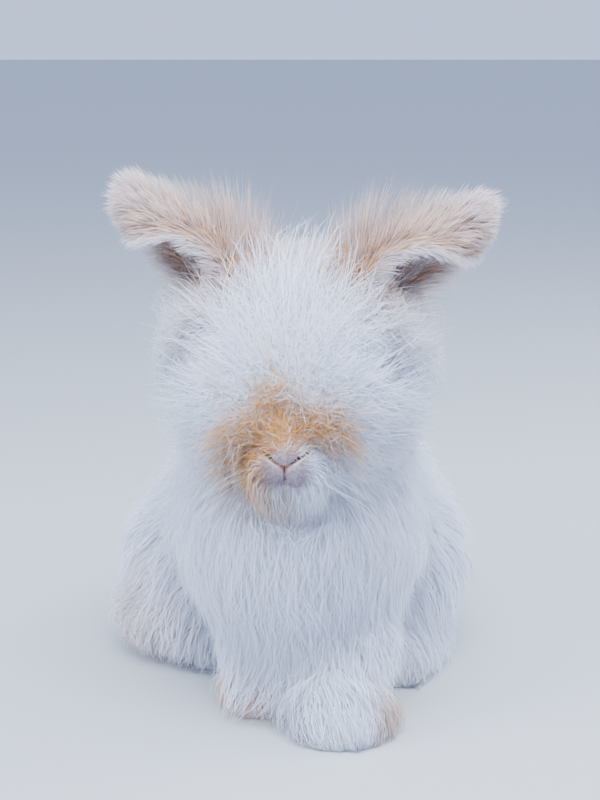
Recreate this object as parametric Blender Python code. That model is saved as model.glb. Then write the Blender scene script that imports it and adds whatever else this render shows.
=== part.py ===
# Young angora rabbit, life size, sitting up on its forelegs with the left forefoot a step ahead.
# Frame: metres, +Z up. The rabbit faces -Y, so its own left side is at +X. It rests on z = 0.

import math
import random
from collections import namedtuple

import bmesh
import bpy
from mathutils import Euler, Matrix, Vector
from mathutils.bvhtree import BVHTree

MM = 0.001
UP = Vector((0.0, 0.0, 1.0))

# How far the dense wool under the locks reaches from the flesh towards the tips of the coat.
CORE_SHARE = 0.42
GAP = 0.3 * MM
WHOLE_VOXEL = 3.0 * MM
FACE_VOXEL = 1.1 * MM
WHOLE_TRIANGLES = 1200
TIPS_TRIANGLES = 3000
FACE_TRIANGLES = 640
BLOCK_SIDE = 1.2

# The head is turned a little to the rabbit's own right, about the neck.
HEAD_TURN = math.radians(-6.0)
HEAD_PIVOT = Vector((0.0, -50.0, 0.0)) * MM

# A form is one rounded mass of the body: its centre, the radii of its flesh and the depth of its coat, in
# millimetres across, along and up the body, and its pitch and yaw in degrees.
Form = namedtuple("Form", "centre radii coat pitch yaw", defaults=(0.0, 0.0))

TRUNK = [
    Form((0, -26, 94), (32, 34, 42), (38, 36, 34)),
    Form((0, 14, 86), (40, 50, 42), (44, 30, 34)),
    Form((0, 58, 78), (44, 48, 46), (44, 30, 36)),
    Form((0, 88, 66), (38, 32, 44), (44, 34, 38)),
]
NECK = [
    Form((0, -44, 138), (24, 27, 34), (40, 34, 30), -15),
    Form((0, -58, 106), (22, 18, 34), (38, 34, 40)),
]
HEAD = [
    Form((0, -64, 186), (25, 31, 26), (48, 30, 42), 12),
    Form((14, -80, 172), (13, 20, 17), (46, 24, 28), 20),
    Form((-14, -80, 172), (13, 20, 17), (46, 24, 28), 20),
    Form((32, -60, 204), (8, 12, 10), (26, 20, 22)),
    Form((-32, -60, 204), (8, 12, 10), (26, 20, 22)),
]
LEGS = [
    Form((30, -34, 84), (13, 20, 26), (24, 20, 14)),
    Form((-30, -32, 84), (13, 20, 26), (24, 20, 14)),
    Form((24, -60, 42), (9, 10, 34), (24, 18, 6), -40),
    Form((-24, -36, 42), (9, 10, 32), (16, 17, 5), -12),
    Form((20, -84, 10), (9, 18, 9), (21, 7, 16)),
    Form((-22, -46, 10), (9, 18, 9), (14, 7, 12)),
    Form((46, 46, 52), (24, 42, 38), (31, 24, 24)),
    Form((-46, 48, 52), (24, 42, 38), (37, 24, 24)),
    Form((54, 22, 9), (10, 42, 8), (12, 5, 11), 0, -8),
    Form((-54, 52, 9), (10, 42, 8), (12, 5, 11), 0, 8),
    Form((-2, -50, 46), (8, 12, 26), (14, 12, 12), -20),
    Form((-58, 40, 27), (20, 34, 16), (36, 20, 16)),
]
TAIL = [Form((0, 138, 66), (10, 12, 22), (15, 15, 14), -12)]

# The muzzle has only a short pile, so its forms carry hardly any coat.
FACE = [
    Form((0, -100, 164), (12, 19, 11), (5, 1, 6), 35),
    Form((6.5, -113, 148), (8.5, 9.5, 8.5), (1, 1, 1)),
    Form((-6.5, -113, 148), (8.5, 9.5, 8.5), (1, 1, 1)),
    Form((0, -117.5, 153), (5.5, 5, 4.5), (0, 0, 0)),
    Form((0, -108, 138.5), (8, 9, 7.5), (1, 1, 1)),
    Form((0, -94, 146), (14, 20, 14), (6, 1, 4)),
]
# Each groove of the muzzle is the slit that a flat blade leaves: its centre, radii and roll in degrees.
Groove = namedtuple("Groove", "centre radii roll")
GROOVES = [
    Groove((6.0, -119, 151.8), (6.5, 3.2, 1.0), -24),
    Groove((-6.0, -119, 151.8), (6.5, 3.2, 1.0), 24),
    Groove((0, -121.5, 145.5), (0.8, 3.4, 4.6), 0),
    Groove((5.2, -117, 141.2), (6.4, 4.6, 0.9), 16),
    Groove((-5.2, -117, 141.2), (6.4, 4.6, 0.9), -16),
]

# Cuts are flat. Each is a point, in millimetres, and the direction of the side that the first part keeps.
Cut = namedtuple("Cut", "point facing")
TAIL_SIDE = 18
NAPE = Cut((0, -60, 153), (0, -0.42, 0.91))
SHOULDER = Cut((0, -38, 118), (0, -0.80, 0.60))
BRISKET = Cut((0, -85, 60), (0, -0.60, 0.80))
ELBOW = Cut((0, -27, 40), (0, -1, 0))
KNEE = Cut((0, -23, 30), (0, 1, 0))
MID_FORE = Cut((-3, 0, 0), (1, 0, 0))
WRIST_LEFT = Cut((21, -76, 22), (0, 0.64, 0.77))
WRIST_RIGHT = Cut((-22, -40, 22), (0, 0.2, 0.98))
HOCK = Cut((0, 0, 19), (0, 0, 1))
FLANK_LEFT = Cut((45, 45, 84), (0.45, 0, -0.89))
FLANK_RIGHT = Cut((-45, 45, 84), (-0.45, 0, -0.89))
GROIN_LEFT = Cut((TAIL_SIDE, 0, 0), (1, 0, 0))
GROIN_RIGHT = Cut((-TAIL_SIDE, 0, 0), (-1, 0, 0))
DOCK = Cut((0, 128, 60), (0, 0.97, -0.24))
TAIL_BOX = [
    Cut((TAIL_SIDE, 0, 0), (-1, 0, 0)),
    Cut((-TAIL_SIDE, 0, 0), (1, 0, 0)),
    Cut((0, 0, 22), (0, 0, 1)),
    Cut((0, 0, 112), (0, 0, -1)),
]
FLOOR = Cut((0, 0, 0), (0, 0, 1))


def other_side(cut):
    return Cut(cut.point, tuple(-v for v in cut.facing))


# Every part but the torso keeps the wedge between these cuts, and the torso keeps what is left.
TERRITORY = {
    "head": [NAPE],
    "neck": [other_side(NAPE), SHOULDER, BRISKET],
    "foreleg_left": [other_side(BRISKET), ELBOW, MID_FORE, WRIST_LEFT],
    "foreleg_right": [other_side(BRISKET), ELBOW, other_side(MID_FORE), WRIST_RIGHT],
    "forepaw_left": [other_side(BRISKET), ELBOW, MID_FORE, other_side(WRIST_LEFT)],
    "forepaw_right": [other_side(BRISKET), ELBOW, other_side(MID_FORE), other_side(WRIST_RIGHT)],
    "haunch_left": [FLANK_LEFT, GROIN_LEFT, KNEE, HOCK],
    "haunch_right": [FLANK_RIGHT, GROIN_RIGHT, KNEE, HOCK],
    "hindfoot_left": [FLANK_LEFT, GROIN_LEFT, KNEE, other_side(HOCK)],
    "hindfoot_right": [FLANK_RIGHT, GROIN_RIGHT, KNEE, other_side(HOCK)],
    "tail": [DOCK, *TAIL_BOX],
}

EYE_RADIUS = 8.0 * MM
EYE_PLACE = Vector((19.5, -76.0, 184.0)) * MM
EYE_LOOK = Vector((0.93, -0.33, 0.12)).normalized()
EYE_DETAIL = 2
LID_RADIUS = 10.0 * MM
LID_OPENING = Vector((7.4, 5.6, 14.0)) * MM
# The parting in the wool before an eye: its radius at the eye, its radius outside, and its depth.
EYE_BAY = (9.0 * MM, 15.0 * MM, 44.0 * MM)
EYE_BAY_SIDES = 12

# The left ear's leather follows a bent rib. At each station: the rib's point from the ear's root in
# millimetres, the way that the cup opens, half its width measured round it, and half the angle of its roll.
EarStation = namedtuple("EarStation", "rib opening half_width half_roll")
EAR_ROOT = Vector((25.0, -60.0, 208.0)) * MM
EAR_STATIONS = [
    EarStation((0, 0, 0), (0.45, -0.80, -0.10), 15, 2.5),
    EarStation((5, -1, 14), (0.50, -0.80, -0.30), 18, 2.1),
    EarStation((12, -3, 28), (0.40, -0.72, -0.56), 20, 1.7),
    EarStation((23, -6, 40), (0.30, -0.60, -0.74), 21, 1.45),
    EarStation((36, -9, 48), (0.15, -0.30, -0.94), 21, 1.2),
    EarStation((49, -11, 52), (0.00, 0.30, -0.92), 19, 1.0),
    EarStation((60, -12, 53), (-0.05, 0.85, -0.52), 13, 0.85),
    EarStation((66, -12, 52), (-0.10, 0.88, -0.46), 5, 0.60),
]
# The rabbit's right ear is held a little higher than its left: each ear's lift about its root.
EAR_LIFT = {1: 0.0, -1: math.radians(7.0)}
EAR_LEATHER = 2.2 * MM
EAR_RIM = 1.0 * MM
EAR_COAT = 12.0 * MM
# The step along the ear, as a share of its length, over which a direction is measured.
NEAR = 0.03
EAR_STEPS = 9
EAR_COLUMNS = 6
EAR_CUTS = [
    Cut((25, -60, 207), (0.25, 0, 0.97)),
    Cut((9, 0, 207), (0.92, 0, -0.39)),
    Cut((0, -44, 207), (0, -0.94, 0.35)),
    Cut((0, -84, 207), (0, 0.92, 0.39)),
]

# Claws: their roots from the middle of a left foot in millimetres.
CLAW_LENGTH = 9.0 * MM
CLAW_RADIUS = 1.4 * MM
CLAW_SIDES = 5
CLAW_RINGS = 3
CLAW_SINK = 3.0 * MM
CLAW_DROP = 2.6 * MM
FORE_CLAWS = [(-7.5, -15), (-3.6, -20.5), (1.2, -21.5), (5.6, -20), (9.0, -16)]
HIND_CLAWS = [(-6.2, -44), (-2.0, -46.5), (2.6, -46.5), (6.8, -43.5)]
CLAW_HEIGHT = 6.5

# The coat's locks, by the part that carries them: the distance between roots, the width of a lock and how
# deep its root is sunk, in millimetres, and how far it runs as a multiple of the depth that it fills.
Coat = namedtuple("Coat", "spacing width sink run")
COATS = {
    "head": Coat(14.0, 18, 5, 1.5),
    "neck": Coat(17.5, 22, 6, 1.8),
    "torso": Coat(23, 29, 6, 1.8),
    "foreleg": Coat(18, 18, 4, 1.6),
    "forepaw": Coat(13, 13, 3, 1.2),
    "haunch": Coat(22.5, 26, 6, 1.8),
    "hindfoot": Coat(18, 16, 3, 1.1),
    "tail": Coat(16, 17, 4, 1.5),
    "ear": Coat(14.0, 16, 5, 1.5),
}
# The ear's locks stand in rows from its root to its tip, at places across it from one edge, -1, to the other.
EAR_ROW_PLACES = [
    (0.14, (-1.0, 0.0, 1.0)),
    (0.28, (-1.0, -0.5, 0.5, 1.0)),
    (0.42, (-1.0, -0.5, 0.0, 0.5, 1.0)),
    (0.57, (-1.0, -0.5, 0.5, 1.0)),
    (0.70, (-1.0, -0.5, 0.0, 0.5, 1.0)),
    (0.83, (-1.0, -0.5, 0.5, 1.0)),
    (0.96, (-1.0, 0.0, 1.0)),
]
EAR_FRINGE = 14.0 * MM
EAR_LOCK_WIDTH = 11.0 * MM
EAR_LOCK_SINK = 1.3 * MM
EAR_LOCK_RUN = 1.3
EAR_LOCK_EXTRA = 4.0 * MM
# A lock at the ear's root is this much longer than the fringe, and it shortens by so much up to the tip.
EAR_LOCK_TAPER = (1.45, 0.60)
# The way the coat lies: a steady pull across, along and up, and how strongly it leads away from a point.
Lie = namedtuple("Lie", "pull away source")
LIES = {
    "head": Lie((0, 0.1, -0.35), 1.0, (0, -122, 150)),
    "neck": Lie((0, -0.25, -1.0), 0.4, (0, -60, 150)),
    "torso": Lie((0, 0.9, -0.5), 0.8, (0, 20, 90)),
    "foreleg": Lie((0, -0.1, -1.0), 0.3, (0, -40, 80)),
    "forepaw": Lie((0, -0.3, -0.5), 1.0, (0, -60, 20)),
    "haunch": Lie((0, 0.35, -1.0), 0.5, (0, 20, 70)),
    "hindfoot": Lie((0, -0.3, -0.6), 1.0, (0, 30, 20)),
    "tail": Lie((0, 0.2, 1.0), 0.3, (0, 120, 50)),
    "ear": Lie((0, 0.1, 0.4), 1.0, (0, -100, 170)),
}
# A lock's shape from root to tip: how far along, its height in the coat, and its share of the full width.
Station = namedtuple("Station", "along height width")
LOCK_STATIONS = [
    Station(0.00, 0.00, 0.70),
    Station(0.30, 0.36, 1.00),
    Station(0.66, 0.76, 0.80),
    Station(1.00, 1.00, 0.00),
]
LOCK_THICKNESS = 0.24
LOCK_SWAY = 0.25
DEPTH_RANGE = (0.88, 1.10)
SIZE_RANGE = (0.85, 1.15)
# How far a wall may push a lock before the lock is made smaller instead, and the sizes that are tried.
LOCK_PUSH = 12.0 * MM
LOCK_TRIES = (1.0, 0.75, 0.5)
WALL_SPARE = 0.02 * MM
WALL_ROUNDS = 6
LEAST_DEPTH = 6.0 * MM
LOCK_WALL = 0.5 * MM
LOCK_FLOOR = Cut((0, 0, 2), (0, 0, 1))
# Roots keep out of these balls, each a centre and a radius in millimetres: nose and mouth, and the eyes.
BARE = [((0, -112, 147), 17), ((27, -80, 185), 13), ((-27, -80, 185), 13)]
# Roots stand this far above the floor, off faces that look down, and this far from a cut.
ROOT_FLOOR = 4.0 * MM
ROOT_UNDER = -0.6
ROOT_CLEAR = 2.0 * MM
ON_CORE = 0.2 * MM
# Tries for a root, for each square of the spacing, and the shortest pull along the skin that sets a lie.
ROOT_TRIES = 14
LEAST_RUN = 0.05
SEED = 20

COLOURS = {
    "wool_white": (0.86, 0.85, 0.83),
    "wool_fawn": (0.80, 0.58, 0.38),
    "eye": (0.03, 0.015, 0.01),
    "claw": (0.70, 0.58, 0.48),
}


def material(name, roughness):
    """One material of the animal, in its own colour."""
    found = bpy.data.materials.get(name) or bpy.data.materials.new(name)
    found.use_nodes = True
    shader = found.node_tree.nodes["Principled BSDF"]
    shader.inputs["Base Color"].default_value = (*COLOURS[name], 1.0)
    shader.inputs["Roughness"].default_value = roughness
    shader.inputs["Metallic"].default_value = 0.0
    return found


def head_turn():
    """The turn of the head and of all that it carries, about the upright axis through the neck."""
    pivot = Matrix.Translation(HEAD_PIVOT)
    return pivot @ Matrix.Rotation(HEAD_TURN, 4, "Z") @ pivot.inverted()


def mesh_object(name, bm):
    """A new object from a bmesh, which is then freed."""
    mesh = bpy.data.meshes.new(name)
    bm.to_mesh(mesh)
    bm.free()
    made = bpy.data.objects.new(name, mesh)
    bpy.context.scene.collection.objects.link(made)
    return made


def remove(*objects):
    for obj in objects:
        bpy.data.objects.remove(obj)


def applied(obj):
    """The object with its modifiers worked into its mesh."""
    bpy.context.view_layer.update()
    graph = bpy.context.evaluated_depsgraph_get()
    mesh = bpy.data.meshes.new_from_object(obj.evaluated_get(graph))
    obj.modifiers.clear()
    obj.data = mesh
    return obj


def combine(obj, others, operation):
    """Joins the others to obj, or cuts them from it, and removes them."""
    for other in others:
        boolean = obj.modifiers.new("combine", "BOOLEAN")
        boolean.operation = operation
        boolean.solver = "MANIFOLD"
        boolean.object = other
        applied(obj)
    remove(*others)
    return obj


def largest_body(obj):
    """obj with only its largest closed surface, so that no scrap or sealed hollow stays."""
    bm = bmesh.new()
    bm.from_mesh(obj.data)
    left = set(bm.verts)
    bodies = []
    while left:
        body = {left.pop()}
        front = list(body)
        while front:
            near = {edge.other_vert(front[-1]) for edge in front[-1].link_edges} - body
            front.pop()
            body |= near
            front.extend(near)
        left -= body
        bodies.append(body)
    bodies.sort(key=len)
    scraps = [vert for body in bodies[:-1] for vert in body]
    bmesh.ops.delete(bm, geom=scraps, context="VERTS")
    bmesh.ops.triangulate(bm, faces=bm.faces[:])
    bm.to_mesh(obj.data)
    bm.free()
    return obj


def ellipsoid(bm, form, share, turn, detail=4):
    """Adds a form to a bmesh: its flesh and that share of its coat."""
    radii = [(flesh + share * coat) * MM for flesh, coat in zip(form.radii, form.coat)]
    tilt = Euler((math.radians(form.pitch), 0.0, math.radians(form.yaw))).to_matrix().to_4x4()
    place = turn @ Matrix.Translation(Vector(form.centre) * MM) @ tilt @ Matrix.Diagonal((*radii, 1.0))
    bmesh.ops.create_icosphere(bm, subdivisions=detail, radius=1.0, matrix=place)


def melted(name, groups, share, voxel, triangles):
    """One smooth closed body from groups of forms, each with its own turn."""
    bm = bmesh.new()
    for forms, turn in groups:
        for form in forms:
            ellipsoid(bm, form, share, turn)
    made = mesh_object(name, bm)
    remesh = made.modifiers.new("melt", "REMESH")
    remesh.mode = "VOXEL"
    remesh.voxel_size = voxel
    smooth = made.modifiers.new("smooth", "SMOOTH")
    smooth.factor = 0.5
    smooth.iterations = 6
    applied(made)
    count = sum(len(face.vertices) - 2 for face in made.data.polygons)
    decimate = made.modifiers.new("decimate", "DECIMATE")
    decimate.ratio = triangles / count
    return applied(made)


def block(name, cuts, grow):
    """The wedge that all the cuts keep, with each of its sides moved out by grow."""
    bm = bmesh.new()
    bmesh.ops.create_cube(bm, size=BLOCK_SIDE)
    for cut in cuts:
        facing = Vector(cut.facing).normalized()
        point = Vector(cut.point) * MM - facing * grow
        geometry = bm.verts[:] + bm.edges[:] + bm.faces[:]
        bmesh.ops.bisect_plane(bm, geom=geometry, plane_co=point, plane_no=-facing, clear_outer=True)
        rim = [edge for edge in bm.edges if edge.is_boundary]
        bmesh.ops.contextual_create(bm, geom=rim)
    bmesh.ops.recalc_face_normals(bm, faces=bm.faces)
    return mesh_object(name, bm)


def signed(cut, point):
    """How far a point is inside a cut, in metres."""
    return Vector(cut.facing).normalized().dot(point - Vector(cut.point) * MM)


def mirrored(cut):
    """A cut on the other side of the body."""
    x, y, z = cut.point
    a, b, c = cut.facing
    return Cut((-x, y, z), (-a, b, c))


def turned(cuts, turn):
    """The same cuts after a turn."""
    spin = turn.to_3x3()
    return [Cut(tuple(turn @ (Vector(c.point) * MM) / MM), tuple(spin @ Vector(c.facing))) for c in cuts]


def copy_of(obj, name):
    made = bpy.data.objects.new(name, obj.data.copy())
    bpy.context.scene.collection.objects.link(made)
    return made


def triangulated(obj):
    bm = bmesh.new()
    bm.from_mesh(obj.data)
    bmesh.ops.triangulate(bm, faces=bm.faces[:])
    bm.to_mesh(obj.data)
    bm.free()
    return obj


# What decides where a node's locks may be: the cuts that hold the node, the wedges of its neighbours, the
# surface of the dense wool, and the bare balls.
Room = namedtuple("Room", "own others core bare")


def make_muzzle(turn):
    """The bare part of the face: nose, whisker pads and lower lip, with its slits cut in."""
    muzzle = melted("muzzle", [(FACE, turn)], CORE_SHARE, FACE_VOXEL, FACE_TRIANGLES)
    blades = []
    for groove in GROOVES:
        bm = bmesh.new()
        roll = Matrix.Rotation(math.radians(groove.roll), 4, "Y")
        radii = Matrix.Diagonal((*(r * MM for r in groove.radii), 1.0))
        place = turn @ Matrix.Translation(Vector(groove.centre) * MM) @ roll @ radii
        bmesh.ops.create_icosphere(bm, subdivisions=2, radius=1.0, matrix=place)
        blades.append(mesh_object("groove", bm))
    return combine(muzzle, blades, "DIFFERENCE")


def tree_of(obj):
    bm = bmesh.new()
    bm.from_mesh(obj.data)
    tree = BVHTree.FromBMesh(bm)
    bm.free()
    return tree


def scattered(obj, spacing, room, draw):
    """Points spread over a surface where a lock may stand, each with its normal."""
    faces = [face for face in obj.data.polygons if face.area > 0.0]
    corners = obj.data.vertices
    weights = [face.area for face in faces]
    tries = int(sum(weights) / (spacing * spacing) * ROOT_TRIES)
    kept = []
    for face in draw.choices(faces, weights, k=tries):
        a, b, c = (corners[index].co for index in face.vertices[:3])
        u, v = draw.random(), draw.random()
        if u + v > 1.0:
            u, v = 1.0 - u, 1.0 - v
        point = a + (b - a) * u + (c - a) * v
        if not may_stand(room, point, face.normal):
            continue
        if all((point - other).length_squared > spacing * spacing for other, _ in kept):
            kept.append((point, face.normal.copy()))
    return kept


def lie_at(lie, point, normal):
    """The way that the coat runs along the surface at a point."""
    away = (point - Vector(lie.source) * MM).normalized()
    run = Vector(lie.pull) + away * lie.away
    run -= normal * run.dot(normal)
    if run.length < LEAST_RUN:
        run = normal * normal.z - UP
    return run.normalized()


def kept_clear(centre, arms, walls):
    """A station's middle, moved so that its arms stay on the inner side of every wall, or None."""
    start = centre
    for _ in range(WALL_ROUNDS):
        worst = 0.0
        for cut in walls:
            facing = Vector(cut.facing).normalized()
            short = GAP + sum(abs(arm.dot(facing)) for arm in arms) - signed(cut, centre)
            if short > 0.0:
                centre = centre + facing * (short + WALL_SPARE)
            worst = max(worst, short)
        if worst <= 0.0:
            return centre if (centre - start).length < LOCK_PUSH else None
    return None


def lock_rings(root, normal, run, size, core, walls):
    """The corners of a lock's sections from its sunk root to its tip, or None where it has no room."""
    length, depth, width, sink = size
    rings = []
    for station in LOCK_STATIONS:
        ahead = root + run * (length * station.along) + normal * (depth * station.height)
        outward = normal
        if station.along > 0.0:
            foot = core.find_nearest(ahead)[0]
            outward = (ahead - foot).normalized()
            ahead = foot + outward * (depth * station.height)
        else:
            ahead = root - normal * sink
        across = run.cross(outward + normal).normalized()
        ridge = across.cross(run) * max(width * LOCK_THICKNESS * station.width, LOCK_WALL)
        across *= width * station.width / 2.0
        centre = kept_clear(ahead, (across, ridge), walls)
        if centre is None:
            return None
        rings.append([centre] if station.width == 0.0 else [centre - across, centre + ridge, centre + across])
    return rings


def lock_mesh(rings):
    """A closed lock on its sections."""
    bm = bmesh.new()
    rings = [[bm.verts.new(corner) for corner in ring] for ring in rings]
    bm.faces.new(rings[0])
    for low, high in zip(rings, rings[1:]):
        for side in range(3):
            other = (side + 1) % 3
            corners = [low[side], low[other], high[other % len(high)], high[side % len(high)]]
            bm.faces.new(corners[:3] if len(high) == 1 else corners)
    bmesh.ops.recalc_face_normals(bm, faces=bm.faces)
    bmesh.ops.triangulate(bm, faces=bm.faces[:])
    return mesh_object("lock", bm)


def fitted_lock(root, normal, run, size, core, walls):
    """A lock in its full size, or smaller where a wall leaves it less room, or None."""
    length, depth, width, sink = size
    for share in LOCK_TRIES:
        rings = lock_rings(root, normal, run, (length * share, depth * share, width, sink), core, walls)
        if rings:
            return lock_mesh(rings)
    return None


def joined(node, locks):
    """The node with its locks joined to it."""
    group = bpy.data.collections.new("locks")
    bpy.context.scene.collection.children.link(group)
    for lock in locks:
        bpy.context.scene.collection.objects.unlink(lock)
        group.objects.link(lock)
    boolean = node.modifiers.new("coat", "BOOLEAN")
    boolean.operation = "UNION"
    boolean.solver = "MANIFOLD"
    boolean.operand_type = "COLLECTION"
    boolean.collection = group
    applied(node)
    remove(*group.objects)
    bpy.data.collections.remove(group)
    return node


def coated(node, roots, kind, room, tips, draw):
    """The node with locks on its roots, each reaching about to the tips of the coat."""
    coat = COATS[kind]
    locks = []
    for root, normal in roots:
        depth = max(tips.find_nearest(root)[3], LEAST_DEPTH) * draw.uniform(*DEPTH_RANGE)
        width = coat.width * MM * draw.uniform(*SIZE_RANGE)
        length = coat.run * depth * draw.uniform(*SIZE_RANGE)
        sway = Matrix.Rotation(draw.gauss(0.0, LOCK_SWAY), 3, normal)
        run = sway @ lie_at(LIES[kind], root, normal)
        size = (length, depth, width, coat.sink * MM)
        lock = fitted_lock(root, normal, run, size, room.core, walls_at(room, root))
        locks += [lock] if lock else []
    return joined(node, locks)


def ear_coated(ear, side, turn, cuts, draw):
    """The ear with locks on its back, turned out along its edges into a fringe, and at its tip."""
    place = ear_place(side, turn)
    spin = place.to_3x3()
    core = tree_of(ear)
    locks = []
    longest, taper = EAR_LOCK_TAPER
    for share, places in EAR_ROW_PLACES:
        for u in places:
            base, out, across, tangent = ear_skin(share, u)
            normal = (spin @ out).normalized()
            run = spin @ (tangent * (1.2 - 0.6 * abs(u)) + across * u)
            run = (run - normal * run.dot(normal)).normalized()
            run = Matrix.Rotation(draw.gauss(0.0, LOCK_SWAY), 3, normal) @ run
            depth = EAR_FRINGE * (0.5 + 0.5 * abs(u)) * (longest - taper * share) * draw.uniform(*SIZE_RANGE)
            size = (depth * EAR_LOCK_RUN + EAR_LOCK_EXTRA, depth, EAR_LOCK_WIDTH, EAR_LOCK_SINK)
            lock = fitted_lock(place @ base, normal, run, size, core, cuts)
            locks += [lock] if lock else []
    return joined(ear, locks)


def ear_skin(share, u):
    """A point on the ear's wool at a share of its length and a place across it from -1 to 1, with its
    outward direction, the direction across and the direction to the tip."""
    outer, _ = ear_section(share, CORE_SHARE * EAR_COAT)
    ahead, _ = ear_section(min(share + NEAR, 1.0), CORE_SHARE * EAR_COAT)
    behind, _ = ear_section(max(share - NEAR, 0.0), CORE_SHARE * EAR_COAT)
    column = round((u + 1.0) / 2.0 * EAR_COLUMNS)
    low, high = max(column - 1, 0), min(column + 1, EAR_COLUMNS)
    tangent = (ahead[column] - behind[column]).normalized()
    across = (outer[high] - outer[low]).normalized()
    out = across.cross(tangent).normalized()
    middle = (outer[0] + outer[-1]) / 2.0
    if out.dot(outer[EAR_COLUMNS // 2] - middle) < 0.0:
        out = -out
    return outer[column], out, across, tangent


def make_body():
    """The whole animal as one melted body, parted by thin cuts into its nodes."""
    turn = head_turn()
    still = Matrix.Identity(4)
    groups = [(TRUNK + NECK + LEGS + TAIL, still), (HEAD, turn)]
    outline = melted("outline", groups, 1.0, WHOLE_VOXEL, TIPS_TRIANGLES)
    tips = tree_of(outline)
    remove(outline)
    whole = melted("whole", groups, CORE_SHARE, WHOLE_VOXEL, WHOLE_TRIANGLES)
    combine(whole, [make_muzzle(turn)], "UNION")
    combine(whole, [block("ground", [FLOOR], 0.0)], "INTERSECT")
    core = tree_of(triangulated(whole))
    nodes = {}
    for side in (1, -1):
        piece = copy_of(whole, ear_name(side))
        combine(piece, [ear_wedge(side, turn, -GAP / 2)], "INTERSECT")
        combine(piece, [make_ear(side, turn)], "UNION")
        nodes[ear_name(side)] = piece
        combine(whole, [ear_wedge(side, turn, GAP / 2)], "DIFFERENCE")
    for name, cuts in TERRITORY.items():
        piece = copy_of(whole, name)
        combine(piece, [block("wedge", cuts, -GAP / 2)], "INTERSECT")
        nodes[name] = piece
    wedges = [block("wedge", cuts, GAP / 2) for cuts in TERRITORY.values()]
    whole.name = "torso"
    nodes["torso"] = combine(whole, wedges, "DIFFERENCE")
    return nodes, core, tips


def room_of(name, ears, core, bare):
    """The room of a node's locks."""
    if name in ears:
        return Room(ears[name], [], core, bare)
    own = TERRITORY.get(name, [])
    others = list(ears.values())
    if not own:
        others += TERRITORY.values()
    return Room(own, others, core, bare)


def may_stand(room, point, normal):
    """Whether a lock may have its root at a point."""
    if point.z < ROOT_FLOOR or normal.z < ROOT_UNDER:
        return False
    if room.core.find_nearest(point)[3] > ON_CORE:
        return False
    if any(signed(cut, point) < ROOT_CLEAR for cut in room.own):
        return False
    if any(max(-signed(cut, point) for cut in wedge) < ROOT_CLEAR for wedge in room.others):
        return False
    return all((point - centre).length > radius for centre, radius in room.bare)


def walls_at(room, root):
    """The walls that a lock keeps inside of: its node's cuts, the floor, and each neighbour's nearest cut."""
    nearest = [min(wedge, key=lambda cut: signed(cut, root)) for wedge in room.others]
    return room.own + [LOCK_FLOOR] + [other_side(cut) for cut in nearest]


def dress(nodes, core, tips, turn):
    """Every node's locks, rooted on its own wool and kept clear of its neighbours and the floor."""
    ears = {
        ear_name(1): turned(EAR_CUTS, turn),
        ear_name(-1): turned([mirrored(cut) for cut in EAR_CUTS], turn),
    }
    for side in (1, -1):
        name = ear_name(side)
        ear_coated(nodes[name], side, turn, ears[name], random.Random(SEED))
    bare = [(turn @ (Vector(centre) * MM), radius * MM) for centre, radius in BARE]
    for name, node in nodes.items():
        kind = name.split("_")[0]
        draw = random.Random(f"{SEED} {name}")
        room = room_of(name, ears, core, bare)
        roots = scattered(node, COATS[kind].spacing * MM, room, draw)
        coated(node, roots, kind, room, tips, draw)


def eye_frame(side, turn):
    """The place of an eye, with its own Z axis along its look."""
    place = Vector((side * EYE_PLACE.x, EYE_PLACE.y, EYE_PLACE.z))
    look = Vector((side * EYE_LOOK.x, EYE_LOOK.y, EYE_LOOK.z))
    return turn @ Matrix.Translation(place) @ look.to_track_quat("Z", "Y").to_matrix().to_4x4()


def ball(name, radius, place, detail=EYE_DETAIL):
    bm = bmesh.new()
    bmesh.ops.create_icosphere(bm, subdivisions=detail, radius=radius, matrix=place)
    return mesh_object(name, bm)


def make_eye(side, turn, head):
    """An eyeball in its socket, with lids round it, at the bottom of a parting in the wool."""
    frame = eye_frame(side, turn)
    narrow, wide, depth = EYE_BAY
    bm = bmesh.new()
    middle = frame @ Matrix.Translation((0.0, 0.0, EYE_RADIUS * 0.6 + depth / 2))
    bmesh.ops.create_cone(
        bm, cap_ends=True, segments=EYE_BAY_SIDES, radius1=narrow, radius2=wide, depth=depth, matrix=middle
    )
    combine(head, [mesh_object("bay", bm)], "DIFFERENCE")
    combine(head, [ball("lids", LID_RADIUS, frame)], "UNION")
    opening = frame @ Matrix.Translation((0.0, 0.0, LID_RADIUS)) @ Matrix.Diagonal((*LID_OPENING, 1.0))
    almond = ball("almond", 1.0, opening)
    socket = ball("socket", EYE_RADIUS + GAP, frame)
    combine(head, [almond, socket], "DIFFERENCE")
    return ball("eye_left" if side > 0 else "eye_right", EYE_RADIUS, frame)


def between(stations, share):
    """The ear's values at a share of its length, eased between stations."""
    spot = share * (len(stations) - 1)
    low = min(int(spot), len(stations) - 2)
    blend = spot - low
    a, b = stations[low], stations[low + 1]
    rib = Vector(a.rib).lerp(Vector(b.rib), blend) * MM
    opening = Vector(a.opening).lerp(Vector(b.opening), blend).normalized()
    half_width = (a.half_width * (1 - blend) + b.half_width * blend) * MM
    half_roll = a.half_roll * (1 - blend) + b.half_roll * blend
    return rib, opening, half_width, half_roll


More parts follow.
